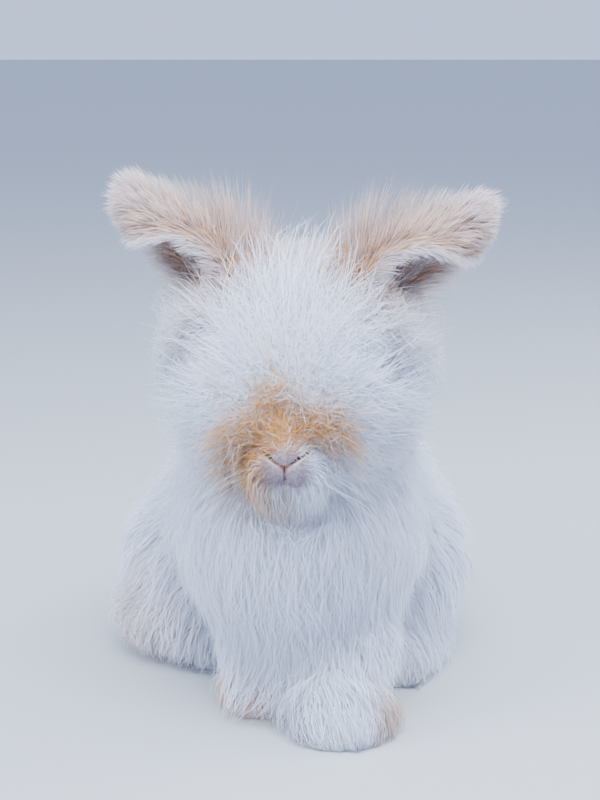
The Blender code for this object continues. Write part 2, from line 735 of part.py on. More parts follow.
def ear_section(share, wool):
    """The outer and the inner line of the ear's leather at a share of its length, wool added outside."""
    rib, opening, half_width, half_roll = between(EAR_STATIONS, share)
    ahead = between(EAR_STATIONS, min(share + NEAR, 1.0))[0]
    behind = between(EAR_STATIONS, max(share - NEAR, 0.0))[0]
    tangent = (ahead - behind).normalized()
    opening = (opening - tangent * opening.dot(tangent)).normalized()
    across = tangent.cross(opening)
    radius = half_width / half_roll
    outer, inner = [], []
    for column in range(EAR_COLUMNS + 1):
        u = 2.0 * column / EAR_COLUMNS - 1.0
        angle = u * half_roll
        out = -opening * math.cos(angle) + across * math.sin(angle)
        base = rib + opening * radius + out * radius
        leather = EAR_RIM + (EAR_LEATHER - EAR_RIM) * (1.0 - u * u)
        outer.append(EAR_ROOT + base + out * (wool * (1.0 - 0.5 * u * u)))
        inner.append(EAR_ROOT + base - out * leather)
    return outer, inner


def ear_wedge(side, turn, grow):
    """The room that an ear and its wool have above the skull."""
    wedge = block("wedge", EAR_CUTS, grow)
    wedge.data.transform(turn @ Matrix.Diagonal((side, 1.0, 1.0, 1.0)))
    if side < 0:
        wedge.data.flip_normals()
    return wedge


def ear_name(side):
    return "ear_left" if side > 0 else "ear_right"


def ear_place(side, turn):
    """The place of an ear's leather: mirrored for the right ear, lifted about its root, and turned."""
    root = Matrix.Translation(EAR_ROOT)
    lift = root @ Matrix.Rotation(-EAR_LIFT[side], 4, "Y") @ root.inverted()
    return turn @ Matrix.Diagonal((side, 1.0, 1.0, 1.0)) @ lift


def make_ear(side, turn):
    """An ear: rolled leather with its wool, closed round its rim."""
    wool = CORE_SHARE * EAR_COAT
    bm = bmesh.new()
    grids = ([], [])
    for step in range(EAR_STEPS + 1):
        lines = ear_section(step / EAR_STEPS, wool)
        for grid, line in zip(grids, lines):
            grid.append([bm.verts.new(point) for point in line])
    outer, inner = grids
    for step in range(EAR_STEPS):
        for column in range(EAR_COLUMNS):
            for grid in grids:
                quad = [grid[step][column], grid[step][column + 1]]
                quad += [grid[step + 1][column + 1], grid[step + 1][column]]
                bm.faces.new(quad)
        for column in (0, EAR_COLUMNS):
            rim = [outer[step][column], outer[step + 1][column], inner[step + 1][column], inner[step][column]]
            bm.faces.new(rim)
    for step in (0, EAR_STEPS):
        for column in range(EAR_COLUMNS):
            end = [outer[step][column], outer[step][column + 1], inner[step][column + 1], inner[step][column]]
            bm.faces.new(end)
    bmesh.ops.recalc_face_normals(bm, faces=bm.faces)
    bmesh.ops.triangulate(bm, faces=bm.faces[:])
    bmesh.ops.transform(bm, matrix=ear_place(side, turn), verts=bm.verts)
    if side < 0:
        bmesh.ops.reverse_faces(bm, faces=bm.faces)
    ear = mesh_object("leather", bm)
    return combine(ear, [ear_wedge(side, turn, -GAP / 2)], "INTERSECT")


def claw_mesh(name, place, spare):
    """A claw: a cone that curves down to its point, or its bed if spare is added all round."""
    bm = bmesh.new()
    rings = []
    for ring in range(CLAW_RINGS):
        share = ring / CLAW_RINGS
        radius = CLAW_RADIUS * (1.0 - share) ** 0.7 + spare
        along = -CLAW_SINK - spare + share * CLAW_LENGTH
        drop = -CLAW_DROP * share * share
        corners = []
        for side in range(CLAW_SIDES):
            angle = math.tau * side / CLAW_SIDES
            corners.append(bm.verts.new((radius * math.cos(angle), -along, drop + radius * math.sin(angle))))
        rings.append(corners)
    tip = bm.verts.new((0.0, CLAW_SINK - CLAW_LENGTH - spare * 3, -CLAW_DROP))
    bm.faces.new(rings[0])
    for low, high in zip(rings, rings[1:]):
        for side in range(CLAW_SIDES):
            other = (side + 1) % CLAW_SIDES
            bm.faces.new((low[side], low[other], high[other], high[side]))
    for side in range(CLAW_SIDES):
        bm.faces.new((rings[-1][side], rings[-1][(side + 1) % CLAW_SIDES], tip))
    bmesh.ops.recalc_face_normals(bm, faces=bm.faces)
    bmesh.ops.transform(bm, matrix=place, verts=bm.verts)
    return mesh_object(name, bm)


def make_claws(foot, form, spots, side, node):
    """The claws of one foot, each in its own bed in the paw."""
    made = []
    for number, (across, ahead) in enumerate(spots, 1):
        spot = Vector((side * across, ahead, CLAW_HEIGHT - form.centre[2])) * MM
        yaw = Matrix.Rotation(math.radians(form.yaw), 4, "Z")
        place = Matrix.Translation(Vector(form.centre) * MM) @ yaw @ Matrix.Translation(spot)
        combine(node, [claw_mesh("bed", place, GAP)], "DIFFERENCE")
        made.append(claw_mesh(f"claw_{foot}_{number}", place, 0.0))
    return made


def settle(objects):
    """Moves all so that the middle of the bottom of their common box is the origin."""
    points = [vert.co for obj in objects for vert in obj.data.vertices]
    low = Vector(min(point[axis] for point in points) for axis in range(3))
    high = Vector(max(point[axis] for point in points) for axis in range(3))
    move = Vector((-(low.x + high.x) / 2.0, -(low.y + high.y) / 2.0, -low.z))
    for obj in objects:
        obj.data.transform(Matrix.Translation(move))


def paint(obj, name, roughness):
    obj.data.materials.clear()
    obj.data.materials.append(material(name, roughness))


def build():
    """The whole rabbit, each part an object of its own."""
    for obj in list(bpy.data.objects):
        bpy.data.objects.remove(obj)
    turn = head_turn()
    nodes, core, tips = make_body()
    eyes = [make_eye(side, turn, nodes["head"]) for side in (1, -1)]
    dress(nodes, core, tips, turn)
    ears = [nodes.pop(ear_name(side)) for side in (1, -1)]
    wool = list(nodes.values())
    claws = []
    feet = (
        ("fore_left", LEGS[4], FORE_CLAWS, 1, "forepaw_left"),
        ("fore_right", LEGS[5], FORE_CLAWS, -1, "forepaw_right"),
        ("hind_left", LEGS[8], HIND_CLAWS, 1, "hindfoot_left"),
        ("hind_right", LEGS[9], HIND_CLAWS, -1, "hindfoot_right"),
    )
    for foot, form, spots, side, node in feet:
        claws += make_claws(foot, form, spots, side, nodes[node])
    for obj in wool:
        paint(largest_body(obj), "wool_white", 0.8)
    for obj in ears:
        paint(largest_body(obj), "wool_fawn", 0.8)
    for obj in eyes:
        paint(obj, "eye", 0.08)
    for obj in claws:
        paint(obj, "claw", 0.4)
    settle(wool + ears + eyes + claws)
    for obj in wool + ears + eyes + claws:
        obj.data.shade_smooth()


build()
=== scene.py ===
# Young angora rabbit, life size, sitting up on its forelegs with the left forepaw a step ahead.
# Frame: metres, +Z up. The rabbit faces -Y, so its own left side is at +X. It rests on z = 0.
import math
from collections import namedtuple

import bmesh
import bpy
import numpy as np
from mathutils import Euler, Matrix, Vector
from mathutils.bvhtree import BVHTree
from mathutils.kdtree import KDTree


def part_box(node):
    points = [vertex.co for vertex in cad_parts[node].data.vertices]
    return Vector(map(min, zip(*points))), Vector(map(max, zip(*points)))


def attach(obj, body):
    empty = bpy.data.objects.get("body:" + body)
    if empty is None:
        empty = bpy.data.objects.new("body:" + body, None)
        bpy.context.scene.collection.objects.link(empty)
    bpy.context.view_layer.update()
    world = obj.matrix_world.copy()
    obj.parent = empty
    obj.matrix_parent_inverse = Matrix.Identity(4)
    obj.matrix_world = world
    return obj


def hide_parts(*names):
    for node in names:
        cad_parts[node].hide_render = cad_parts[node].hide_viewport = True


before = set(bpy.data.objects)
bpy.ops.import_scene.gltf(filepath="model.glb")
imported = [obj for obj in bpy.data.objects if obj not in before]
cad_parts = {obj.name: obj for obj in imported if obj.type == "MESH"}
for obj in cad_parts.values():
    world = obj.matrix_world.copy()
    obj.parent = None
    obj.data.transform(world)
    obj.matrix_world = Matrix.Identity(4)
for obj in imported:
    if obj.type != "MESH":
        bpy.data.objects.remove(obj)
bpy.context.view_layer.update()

# SKIN. The whole rabbit's hide in one piece, from nose to tail, with the ears, lids and toes grown out of it.
# It lies as deep under the tips of the wool as the flesh does in life, and is as pale as the wool's roots.
# It is made from the rounded masses of the body, melted together, with the muzzle's slits and lids cut in.
MM = 0.001
Form = namedtuple("Form", "centre radii coat pitch yaw", defaults=(0.0, 0.0))
# Each region: the way its coat is drawn, how strongly the coat leads away from a point, that point, and its
# masses. A mass has its centre, the radii of its flesh, the depth of its coat, and its pitch and yaw.
Region = namedtuple("Region", "pull away source forms")
REGIONS = {
    "trunk": Region((0, 0.9, -0.5), 0.8, (0, 20, 90), [
        Form((0, -26, 94), (32, 34, 42), (38, 36, 34)),
        Form((0, 14, 86), (40, 50, 42), (44, 30, 34)),
        Form((0, 58, 78), (44, 48, 46), (44, 30, 36)),
        Form((0, 88, 66), (38, 32, 44), (44, 34, 38)),
    ]),
    "bib": Region((0, -0.25, -1.0), 0.8, (0, -60, 150), [
        Form((0, -44, 138), (24, 27, 34), (40, 34, 30), -15),
        Form((0, -58, 106), (22, 18, 34), (38, 34, 40)),
    ]),
    "foreleg": Region((0, -0.1, -1.0), 0.3, (0, -40, 80), [
        Form((30, -34, 84), (13, 20, 26), (24, 20, 14)),
        Form((-30, -32, 84), (13, 20, 26), (24, 20, 14)),
        Form((24, -60, 42), (9, 10, 34), (24, 18, 6), -40),
        Form((-24, -36, 42), (9, 10, 32), (14, 16, 4), -12),
    ]),
    # The wool that falls between the forelegs has no flesh of its own.
    "fall": Region((0, -0.1, -1.0), 0.3, (0, -40, 80), [
        Form((-2, -50, 46), (8, 12, 26), (14, 12, 12), -20),
    ]),
    "forepaw": Region((0, -0.3, -0.5), 1.0, (0, -60, 20), [
        Form((20, -84, 10), (9, 18, 9), (21, 8, 21)),
        Form((-22, -46, 10), (9, 18, 9), (13, 8, 12)),
    ]),
    "haunch": Region((0, 0.35, -1.0), 0.5, (0, 20, 70), [
        Form((46, 46, 52), (24, 42, 38), (31, 24, 24)),
        Form((-46, 48, 52), (24, 42, 38), (37, 24, 24)),
        Form((-58, 40, 27), (20, 34, 16), (36, 20, 16)),
    ]),
    "hindfoot": Region((0, -0.3, -0.6), 1.0, (0, 30, 20), [
        Form((56, 22, 9), (10, 42, 8), (20, 9, 24), 0, -8),
        Form((-54, 52, 9), (10, 42, 8), (12, 5, 11), 0, 8),
    ]),
    "tail": Region((0, 0.2, 1.0), 0.3, (0, 120, 50), [
        Form((0, 138, 66), (10, 12, 22), (15, 15, 14), -12),
    ]),
    "head": Region((0, 0.1, -0.35), 1.0, (0, -122, 150), [
        Form((0, -64, 186), (25, 31, 26), (51, 30, 42), 12),
        Form((14, -80, 172), (13, 20, 17), (46, 24, 28), 20),
        Form((-14, -80, 172), (13, 20, 17), (46, 24, 28), 20),
        Form((32, -60, 204), (8, 12, 10), (26, 20, 22)),
        Form((-32, -60, 204), (8, 12, 10), (26, 20, 22)),
    ]),
    "muzzle": Region((0, 0.1, -0.35), 1.0, (0, -122, 150), [
        Form((0, -100, 164), (12, 19, 11), (5, 1, 6), 35),
        Form((6.5, -113, 148), (8.5, 9.5, 8.5), (1, 1, 1)),
        Form((-6.5, -113, 148), (8.5, 9.5, 8.5), (1, 1, 1)),
        Form((0, -117.5, 153), (5.5, 5, 4.5), (0, 0, 0)),
        Form((0, -103, 138.0), (7, 8, 6.5), (1, 1, 1)),
        Form((0, -94, 146), (14, 20, 14), (6, 1, 4)),
    ]),
}
ON_HEAD = ("head", "muzzle")
REGION_NAMES = list(REGIONS)
# The gristle at the root of each ear, under the wool.
EAR_STEMS = [Form((22, -62, 201), (11, 12, 17), (0, 0, 0)), Form((-22, -62, 201), (11, 12, 17), (0, 0, 0))]
SKIN_VOXEL = 2.2 * MM
MUZZLE_VOXEL = 0.7 * MM
FLESH_ON_MUZZLE = 0.3

# The head is turned a little to the rabbit's own right, about the neck.
pivot = Matrix.Translation((0.0, -50.0 * MM, 0.0))
head_turn = pivot @ Matrix.Rotation(math.radians(-6.0), 4, "Z") @ pivot.inverted()

EYE_RADIUS = 8.0 * MM
EYE_PLACE = Vector((19.5, -76.0, 184.0)) * MM
EYE_LOOK = Vector((0.93, -0.33, 0.12)).normalized()
LID_RADIUS = 10.0 * MM
LID_OPENING = Vector((7.4, 5.6, 14.0)) * MM
EYE_GAP = 0.3 * MM

# Everything is made where the masses are, then set down where the model's left eye is.
eye_low, eye_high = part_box("eye_left")
SET_DOWN = (Vector(eye_low) + Vector(eye_high)) / 2 - head_turn @ EYE_PLACE


def linear(code):
    """An sRGB hex colour as linear RGBA."""
    parts = [int(code[at:at + 2], 16) / 255 for at in (1, 3, 5)]
    return (*((v / 12.92 if v <= 0.04045 else ((v + 0.055) / 1.055) ** 2.4) for v in parts), 1.0)


def add(tree, kind, feeds=None, **settings):
    """Adds a shader node with its settings. Each feed is a value, or the socket that drives the input."""
    made = tree.nodes.new(kind)
    for name, value in settings.items():
        setattr(made, name, value)
    for name, value in (feeds or {}).items():
        if isinstance(value, bpy.types.NodeSocket):
            tree.links.new(value, made.inputs[name])
        else:
            made.inputs[name].default_value = value
    return made


def new_material(name):
    """An empty material and its node tree."""
    made = bpy.data.materials.new(name)
    made.use_nodes = True
    made.node_tree.nodes.clear()
    return made, made.node_tree


def new_piece(name, mesh, material):
    """A piece of the rabbit, set down in its place and riding with the body."""
    piece = bpy.data.objects.new(name, mesh)
    bpy.context.scene.collection.objects.link(piece)
    piece.location = SET_DOWN
    if material:
        mesh.materials.clear()
        mesh.materials.append(material)
        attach(piece, "root")
    return piece


def place_of(form, region):
    """Where a mass is and how it is tilted, without its size."""
    tilt = Euler((math.radians(form.pitch), 0.0, math.radians(form.yaw))).to_matrix().to_4x4()
    turn = head_turn if region in ON_HEAD else Matrix.Identity(4)
    return turn @ Matrix.Translation(Vector(form.centre) * MM) @ tilt


def from_bmesh(name, bm):
    mesh = bpy.data.meshes.new(name)
    bm.to_mesh(mesh)
    bm.free()
    return new_piece(name, mesh, None)


def worked(piece):
    """The piece with its modifiers worked into its mesh."""
    bpy.context.view_layer.update()
    graph = bpy.context.evaluated_depsgraph_get()
    mesh = bpy.data.meshes.new_from_object(piece.evaluated_get(graph))
    piece.modifiers.clear()
    piece.data = mesh
    return piece


def melted(name, placed, share, voxel, rounds):
    """One smooth closed body from masses, each with its place."""
    bm = bmesh.new()
    for form, place in placed:
        radii = [(flesh + share * coat) * MM for flesh, coat in zip(form.radii, form.coat)]
        bmesh.ops.create_icosphere(
            bm, subdivisions=5, radius=1.0, matrix=place @ Matrix.Diagonal((*radii, 1.0))
        )
    made = from_bmesh(name, bm)
    remesh = made.modifiers.new("melt", "REMESH")
    remesh.mode = "VOXEL"
    remesh.voxel_size = voxel
    smooth = made.modifiers.new("smooth", "SMOOTH")
    smooth.factor = 0.5
    smooth.iterations = rounds
    return worked(made)


def combined(body, others, operation):
    """The body with the others joined to it, or cut from it."""
    for other in others:
        boolean = body.modifiers.new("combine", "BOOLEAN")
        boolean.operation = operation
        boolean.solver = "MANIFOLD"
        boolean.object = other
        worked(body)
        bpy.data.objects.remove(other)
    return body


def ball(name, radius, place, detail):
    bm = bmesh.new()
    bmesh.ops.create_icosphere(bm, subdivisions=detail, radius=radius, matrix=place)
    return from_bmesh(name, bm)


def unit(vectors):
    return vectors / np.maximum(np.linalg.norm(vectors, axis=-1, keepdims=True), 1e-9)


placed_body = [(form, place_of(form, name)) for name in REGION_NAMES if name not in ("muzzle", "fall")
               for form in REGIONS[name].forms]
placed_body += [(form, place_of(form, "head")) for form in EAR_STEMS]

# The toes: each foot's mass, its side, and where its claws grow from its middle.
FORE_CLAWS = [(-7.5, -15), (-3.6, -20.5), (1.2, -21.5), (5.6, -20), (9.0, -16)]
HIND_CLAWS = [(-6.2, -44), (-2.0, -46.5), (2.6, -46.5), (6.8, -43.5)]
CLAW_HEIGHT = 6.5
FEET = [
    (REGIONS["forepaw"].forms[0], 1, FORE_CLAWS, "forepaw"),
    (REGIONS["forepaw"].forms[1], -1, FORE_CLAWS, "forepaw"),
    (REGIONS["hindfoot"].forms[0], 1, HIND_CLAWS, "hindfoot"),
    (REGIONS["hindfoot"].forms[1], -1, HIND_CLAWS, "hindfoot"),
]
for foot, side, spots, name in FEET:
    for across, ahead in spots:
        spot = Vector((side * across * 0.85, ahead + 10.5, CLAW_HEIGHT - 0.5 - foot.centre[2])) * MM
        toe = Form((0, 0, 0), (3.2, 7.5, 4.6), (0, 0, 0))
        placed_body.append((toe, place_of(foot, name) @ Matrix.Translation(spot)))
skin = melted("skin", placed_body, 0.0, SKIN_VOXEL, 5)

# The muzzle, finer than the rest: the nose's two slanting slits, the split lip and the mouth are blade cuts.
placed_muzzle = [(form, place_of(form, "muzzle")) for form in REGIONS["muzzle"].forms]
muzzle = melted("muzzle", placed_muzzle, FLESH_ON_MUZZLE, MUZZLE_VOXEL, 4)
SLITS = [
    ((6.5, -119.5, 153.1), (7.8, 2.4, 1.0), -34),
    ((-6.5, -119.5, 153.1), (7.8, 2.4, 1.0), 34),
    ((0, -121.5, 144.5), (0.7, 2.6, 5.4), 0),
    ((5.2, -117, 140.8), (6.4, 4.6, 0.7), 16),
    ((-5.2, -117, 140.8), (6.4, 4.6, 0.7), -16),
]
blades = []
for centre, radii, roll in SLITS:
    place = head_turn @ Matrix.Translation(Vector(centre) * MM) @ Matrix.Rotation(math.radians(roll), 4, "Y")
    blades.append(ball("slit", 1.0, place @ Matrix.Diagonal((*(r * MM for r in radii), 1.0)), 4))
combined(muzzle, blades, "DIFFERENCE")
combined(skin, [muzzle], "UNION")

# The lids: a rim of skin round each eye, with an almond opening.
eye_frames = {}
for side, name in ((1, "left"), (-1, "right")):
    look = Vector((side * EYE_LOOK.x, EYE_LOOK.y, EYE_LOOK.z))
    place = Vector((side * EYE_PLACE.x, EYE_PLACE.y, EYE_PLACE.z))
    turned = look.to_track_quat("Z", "Y").to_matrix().to_4x4()
    eye_frames[name] = head_turn @ Matrix.Translation(place) @ turned
for eye_frame in eye_frames.values():
    combined(skin, [ball("lids", LID_RADIUS, eye_frame, 5)], "UNION")
    opening = eye_frame @ Matrix.Translation((0.0, 0.0, LID_RADIUS)) @ Matrix.Diagonal((*LID_OPENING, 1.0))
    combined(skin, [ball("almond", 1.0, opening, 4)], "DIFFERENCE")
    combined(skin, [ball("socket", EYE_RADIUS + EYE_GAP, eye_frame, 4)], "DIFFERENCE")

# The ears: leather rolled round a bent rib. At each station along the rib: its point from the ear's root,
# the way that the cup opens, half its width, and half the angle of its roll.
EAR_ROOT = np.array([25.0, -60.0, 208.0]) * MM
EAR_STATIONS = np.array([
    (0, 0, 0, 0.45, -0.80, -0.10, 15, 2.5),
    (5, -1, 14, 0.50, -0.80, -0.30, 18, 2.1),
    (12, -3, 28, 0.40, -0.72, -0.56, 20, 1.7),
    (23, -6, 40, 0.30, -0.60, -0.74, 21, 1.45),
    (36, -9, 48, 0.15, -0.30, -0.94, 21, 1.2),
    (49, -11, 52, 0.00, 0.30, -0.92, 19, 1.0),
    (60, -12, 53, -0.05, 0.85, -0.52, 13, 0.85),
    (66, -12, 52, -0.10, 0.88, -0.46, 5, 0.60),
])
EAR_LIFT = {1: 0.0, -1: math.radians(7.0)}
EAR_LEATHER = 2.0 * MM
EAR_RIM = 0.7 * MM
EAR_STEPS = 40
EAR_COLUMNS = 26
ear_shares = np.linspace(0.0, 1.0, 71)
station_shares = np.linspace(0.0, 1.0, len(EAR_STATIONS))
ear_table = np.stack([np.interp(ear_shares, station_shares, column) for column in EAR_STATIONS.T], axis=1)
for _ in range(10):
    ear_table[1:-1] = (ear_table[:-2] + 2 * ear_table[1:-1] + ear_table[2:]) / 4


def ear_at(share, across, inner):
    """Points of the left ear's leather at shares of its length and places from edge to edge, -1 to 1, with
    the ways out, across and along. inner is 1 inside the cup and 0 on the ear's back."""
    def value(shares, columns):
        return np.stack([np.interp(shares, ear_shares, ear_table[:, at]) for at in columns], axis=-1)
    rib = value(share, (0, 1, 2)) * MM
    ahead = value(np.minimum(share + 0.02, 1.0), (0, 1, 2))
    along = unit(ahead - value(np.maximum(share - 0.02, 0.0), (0, 1, 2)))
    opening = value(share, (3, 4, 5))
    opening = unit(opening - along * (along * opening).sum(-1, keepdims=True))
    crosswise = np.cross(along, opening)
    half_width, half_roll = value(share, (6, 7)).T
    angle = (across * half_roll)[:, None]
    out = -opening * np.cos(angle) + crosswise * np.sin(angle)
    radius = (half_width * MM / half_roll)[:, None]
    leather = (EAR_RIM + (EAR_LEATHER - EAR_RIM) * (1 - across ** 2))[:, None]
    point = EAR_ROOT + rib + opening * radius + out * (radius - leather * np.reshape(inner, (-1, 1)))
    return point, out, opening * np.sin(angle) + crosswise * np.cos(angle), along


def ear_place(side):
    """The place of an ear: mirrored for the right ear, lifted about its root, and turned with the head."""
    root = Matrix.Translation(Vector(EAR_ROOT))
    lift = root @ Matrix.Rotation(-EAR_LIFT[side], 4, "Y") @ root.inverted()
    return head_turn @ Matrix.Diagonal((side, 1.0, 1.0, 1.0)) @ lift


def moved(points, matrix, is_direction=False):
    """Points or directions under a 4x4 matrix."""
    spin = np.array(matrix.to_3x3())
    turned = points @ spin.T
    return turned if is_direction else turned + np.array(matrix.translation)


grid_share, grid_across = np.meshgrid(
    np.linspace(0, 1, EAR_STEPS + 1), np.linspace(-1, 1, EAR_COLUMNS + 1), indexing="ij"
)
grid_share, grid_across = grid_share.ravel(), grid_across.ravel()
ear_back = ear_at(grid_share, grid_across, 0.0)[0]
ear_cup = ear_at(grid_share, grid_across, 1.0)[0]
row = EAR_COLUMNS + 1
cup = len(grid_share)
ear_faces = []
for step in range(EAR_STEPS):
    for column in range(EAR_COLUMNS):
        a = step * row + column
        b = cup + a
        ear_faces += [(a, a + 1, a + row + 1, a + row), (b, b + row, b + row + 1, b + 1)]
    for a in (step * row, step * row + EAR_COLUMNS):
        ear_faces.append((a, a + row, cup + a + row, cup + a))
for column in range(EAR_COLUMNS):
    for a in (column, EAR_STEPS * row + column):
        ear_faces.append((a, a + 1, cup + a + 1, cup + a))
ear_tree = KDTree(2 * 2 * cup)
ear_values = []
for side in (1, -1):
    points = moved(np.concatenate((ear_back, ear_cup)), ear_place(side))
    leather = bpy.data.meshes.new("leather")
    leather.from_pydata(points.tolist(), [], ear_faces)
    bm = bmesh.new()
    bm.from_mesh(leather)
    bmesh.ops.recalc_face_normals(bm, faces=bm.faces)
    combined(skin, [from_bmesh("leather", bm)], "UNION")
    for at, point in enumerate(points):
        ear_tree.insert(point, len(ear_values))
        ear_values.append((grid_share[at % cup], grid_across[at % cup], float(at >= cup)))
ear_tree.balance()
ear_values = np.array(ear_values)

# The soles are flat where they stand.
bm = bmesh.new()
bmesh.ops.create_cube(bm, size=1.0, matrix=Matrix.Translation((0.0, 0.0, 0.5)))
combined(skin, [from_bmesh("ground", bm)], "INTERSECT")
bm = bmesh.new()
bm.from_mesh(skin.data)
bmesh.ops.triangulate(bm, faces=bm.faces[:])
bm.to_mesh(skin.data)
bm.free()
skin.data.shade_smooth()

# The rabbit's markings, where fawn hair grows, and one faint painted shade under the mouth: the middle of
# each patch, how far it fades out, and how strong it is.
Mark = namedtuple("Mark", "centre radii strength")
HEAD_MARKS = [
    Mark((-3, -108, 164), (15, 20, 11), 1.5),
    Mark((-14, -106, 151), (10, 15, 12), 1.5),
    Mark((-16, -98, 139), (10, 15, 10), 1.1),
    Mark((-3, -98, 176), (7, 12, 7), 0.8),
    Mark((11, -103, 168), (8, 14, 6), 0.9),
    # Painted shade: a faint warm tint under the mouth that stands in for the shade and reflected colour below
    # the lips.
    Mark((2, -108, 136), (16, 12, 9), 0.28),
    Mark((-9, -116, 146), (4, 8, 6), 0.6),
    Mark((-2, -58, 212), (26, 20, 10), 0.30),
    Mark((17, -68, 209), (9, 14, 9), 0.50),
    Mark((-17, -68, 209), (9, 14, 9), 0.50),
    Mark((30, -84, 184), (5, 10, 12), 0.3),
    Mark((24, -62, 214), (17, 18, 18), 0.75),
    Mark((-24, -62, 214), (17, 18, 18), 0.75),
]
BODY_MARKS = [
    Mark((31, -82, 15), (6, 10, 8), 1.0),
    Mark((-24, -62, 9), (17, 20, 14), 1.1),
    Mark((-68, 14, 52), (26, 34, 26), 0.42),
    Mark((50, -18, 6), (14, 18, 8), 0.30),
]
EAR_FAWN = 0.64


def fawn_at(points):
    """How fawn the hair is that grows at points, from 0 to 1; the faint mark under the mouth is painted
    shade.
    """
    fawn = np.zeros(len(points))
    for marks, turn in ((HEAD_MARKS, head_turn.inverted()), (BODY_MARKS, Matrix.Identity(4))):
        spots = moved(points, turn) / MM
        for mark in marks:
            off = (spots - np.array(mark.centre)) / np.array(mark.radii)
            fawn += mark.strength * np.exp(-np.power((off ** 2).sum(1), 1.4))
    return np.clip(fawn * 1.3 - 0.12, 0.0, 1.0)


# Bare skin shows pink: in the cup of each ear, on the lids' rims, and in the slits of nose and mouth.
skin_points = np.empty(len(skin.data.vertices) * 3)
skin.data.vertices.foreach_get("co", skin_points)
skin_points = skin_points.reshape(-1, 3)
LOWEST_EAR = 195.0 * MM
LEATHER_REACH = 2.4 * MM
BARE_TO = 0.62
on_ear = np.zeros(len(skin_points))
bare = np.zeros(len(skin_points))
in_cup = np.zeros(len(skin_points))
for at in np.nonzero(skin_points[:, 2] > LOWEST_EAR)[0]:
    _, index, distance = ear_tree.find(skin_points[at])
    if distance < LEATHER_REACH:
        share, across, inner = ear_values[index]
        on_ear[at] = 1.0
        bare[at] = inner * max(0.0, 1.0 - across ** 6) * min(1.0, max(0.0, (BARE_TO - share) * 3.0))
        in_cup[at] = inner
for eye_frame in eye_frames.values():
    spots = moved(skin_points, eye_frame.inverted()) / MM
    rim = np.exp(-((spots[:, 0] / 10.5) ** 2 + (spots[:, 1] / 8.5) ** 2) ** 3) * (spots[:, 2] > 3.0)
    rim *= np.linalg.norm(spots, axis=1) < 11.0
    bare = np.maximum(bare, rim * 0.9)
snout = moved(skin_points, head_turn.inverted()) / MM
for centre, radii, amount in (
    ((0, -121, 149), (3.0, 4.0, 3.0), 0.9),
    ((0, -116, 141), (8.0, 4.5, 1.4), 0.8),
    ((0, -120, 149), (12.0, 8.0, 9.0), 0.5),
):
    off = (snout - np.array(centre)) / np.array(radii)
    bare = np.maximum(bare, amount * np.exp(-((off ** 2).sum(1)) ** 1.3))

# The nose's lines as one sees them from the front: two slanting slits and the split of the lip.
NOSE_LINES = [((0.0, 148.8), (14.0, 158.2)), ((0.0, 148.8), (-14.0, 158.2)), ((0.0, 148.8), (0.0, 140.0))]


def off_nose_lines(points):
    """How far points on the snout are from the nose's lines, in mm. Points elsewhere are far away."""
    spots = moved(points, head_turn.inverted()) / MM
    front = spots[:, (0, 2)]
    least = np.full(len(points), 99.0)
    for begin, end in NOSE_LINES:
        stretch = np.subtract(end, begin)
        share = np.clip(((front - begin) @ stretch) / (stretch @ stretch), 0.0, 1.0)
        least = np.minimum(least, np.linalg.norm(front - begin - share[:, None] * stretch, axis=1))
    return np.where(spots[:, 1] < -104.0, least, 99.0)


# Along the nose's lines the hide is painted dark red: partly the darker skin of the nostrils and lip, partly
# painted shade in the depth of the slits.
slit = np.exp(-(off_nose_lines(skin_points) / 1.0) ** 2)
skin_fawn = np.maximum(fawn_at(skin_points), on_ear * EAR_FAWN * (1.0 - 0.6 * in_cup))
for name, values in (("fawn", skin_fawn), ("bare", bare), ("slit", slit)):
    skin.data.attributes.new(name, "FLOAT", "POINT").data.foreach_set("value", values)

hide, tree = new_material("rabbit hide under wool")
# Hide: pale, faintly pink and finely grained under white wool, warmer under fawn wool, dusky pink where bare.
fawn_value = add(tree, "ShaderNodeAttribute", attribute_name="fawn").outputs["Fac"]
bare_value = add(tree, "ShaderNodeAttribute", attribute_name="bare").outputs["Fac"]
coordinates = add(tree, "ShaderNodeTexCoord").outputs["Object"]
blotch = add(tree, "ShaderNodeTexNoise", {"Vector": coordinates, "Scale": 160.0, "Detail": 3.0})
grain = add(tree, "ShaderNodeTexNoise", {"Vector": coordinates, "Scale": 1400.0, "Detail": 2.0})
pale = add(tree, "ShaderNodeMix", {
    0: blotch.outputs["Fac"], 6: linear("#DAD9DE"), 7: linear("#ECECF1"),
}, data_type="RGBA").outputs[2]
tinted = add(tree, "ShaderNodeMix", {
    0: fawn_value, 6: pale, 7: linear("#CFA275"),
}, data_type="RGBA").outputs[2]
pink = add(tree, "ShaderNodeMix", {
    0: blotch.outputs["Fac"], 6: linear("#865646"), 7: linear("#AE7866"),
}, data_type="RGBA").outputs[2]
colour = add(tree, "ShaderNodeMix", {0: bare_value, 6: tinted, 7: pink}, data_type="RGBA").outputs[2]
# Dark red along the slits: the nostrils' own darker skin, with painted shade of the slits' depth.
slit_value = add(tree, "ShaderNodeAttribute", attribute_name="slit").outputs["Fac"]
colour = add(tree, "ShaderNodeMix", {
    0: slit_value, 6: colour, 7: linear("#6E302F"),
}, data_type="RGBA").outputs[2]
bump = add(tree, "ShaderNodeBump", {"Height": grain.outputs["Fac"], "Strength": 0.35, "Distance": 0.0004})
surface = add(tree, "ShaderNodeBsdfPrincipled", {
    "Base Color": colour, "Roughness": 0.62, "IOR": 1.4, "Sheen Weight": 0.25, "Sheen Roughness": 0.5,
    "Subsurface Weight": 0.12, "Subsurface Scale": 0.002, "Normal": bump.outputs["Normal"],
})
add(tree, "ShaderNodeOutputMaterial", {"Surface": surface.outputs[0]})
skin.data.materials.clear()
skin.data.materials.append(hide)
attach(skin, "root")
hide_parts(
    "head", "neck", "torso", "tail", "ear_left", "ear_right", "foreleg_left", "foreleg_right",
    "forepaw_left", "forepaw_right", "haunch_left", "haunch_right", "hindfoot_left", "hindfoot_right",
)

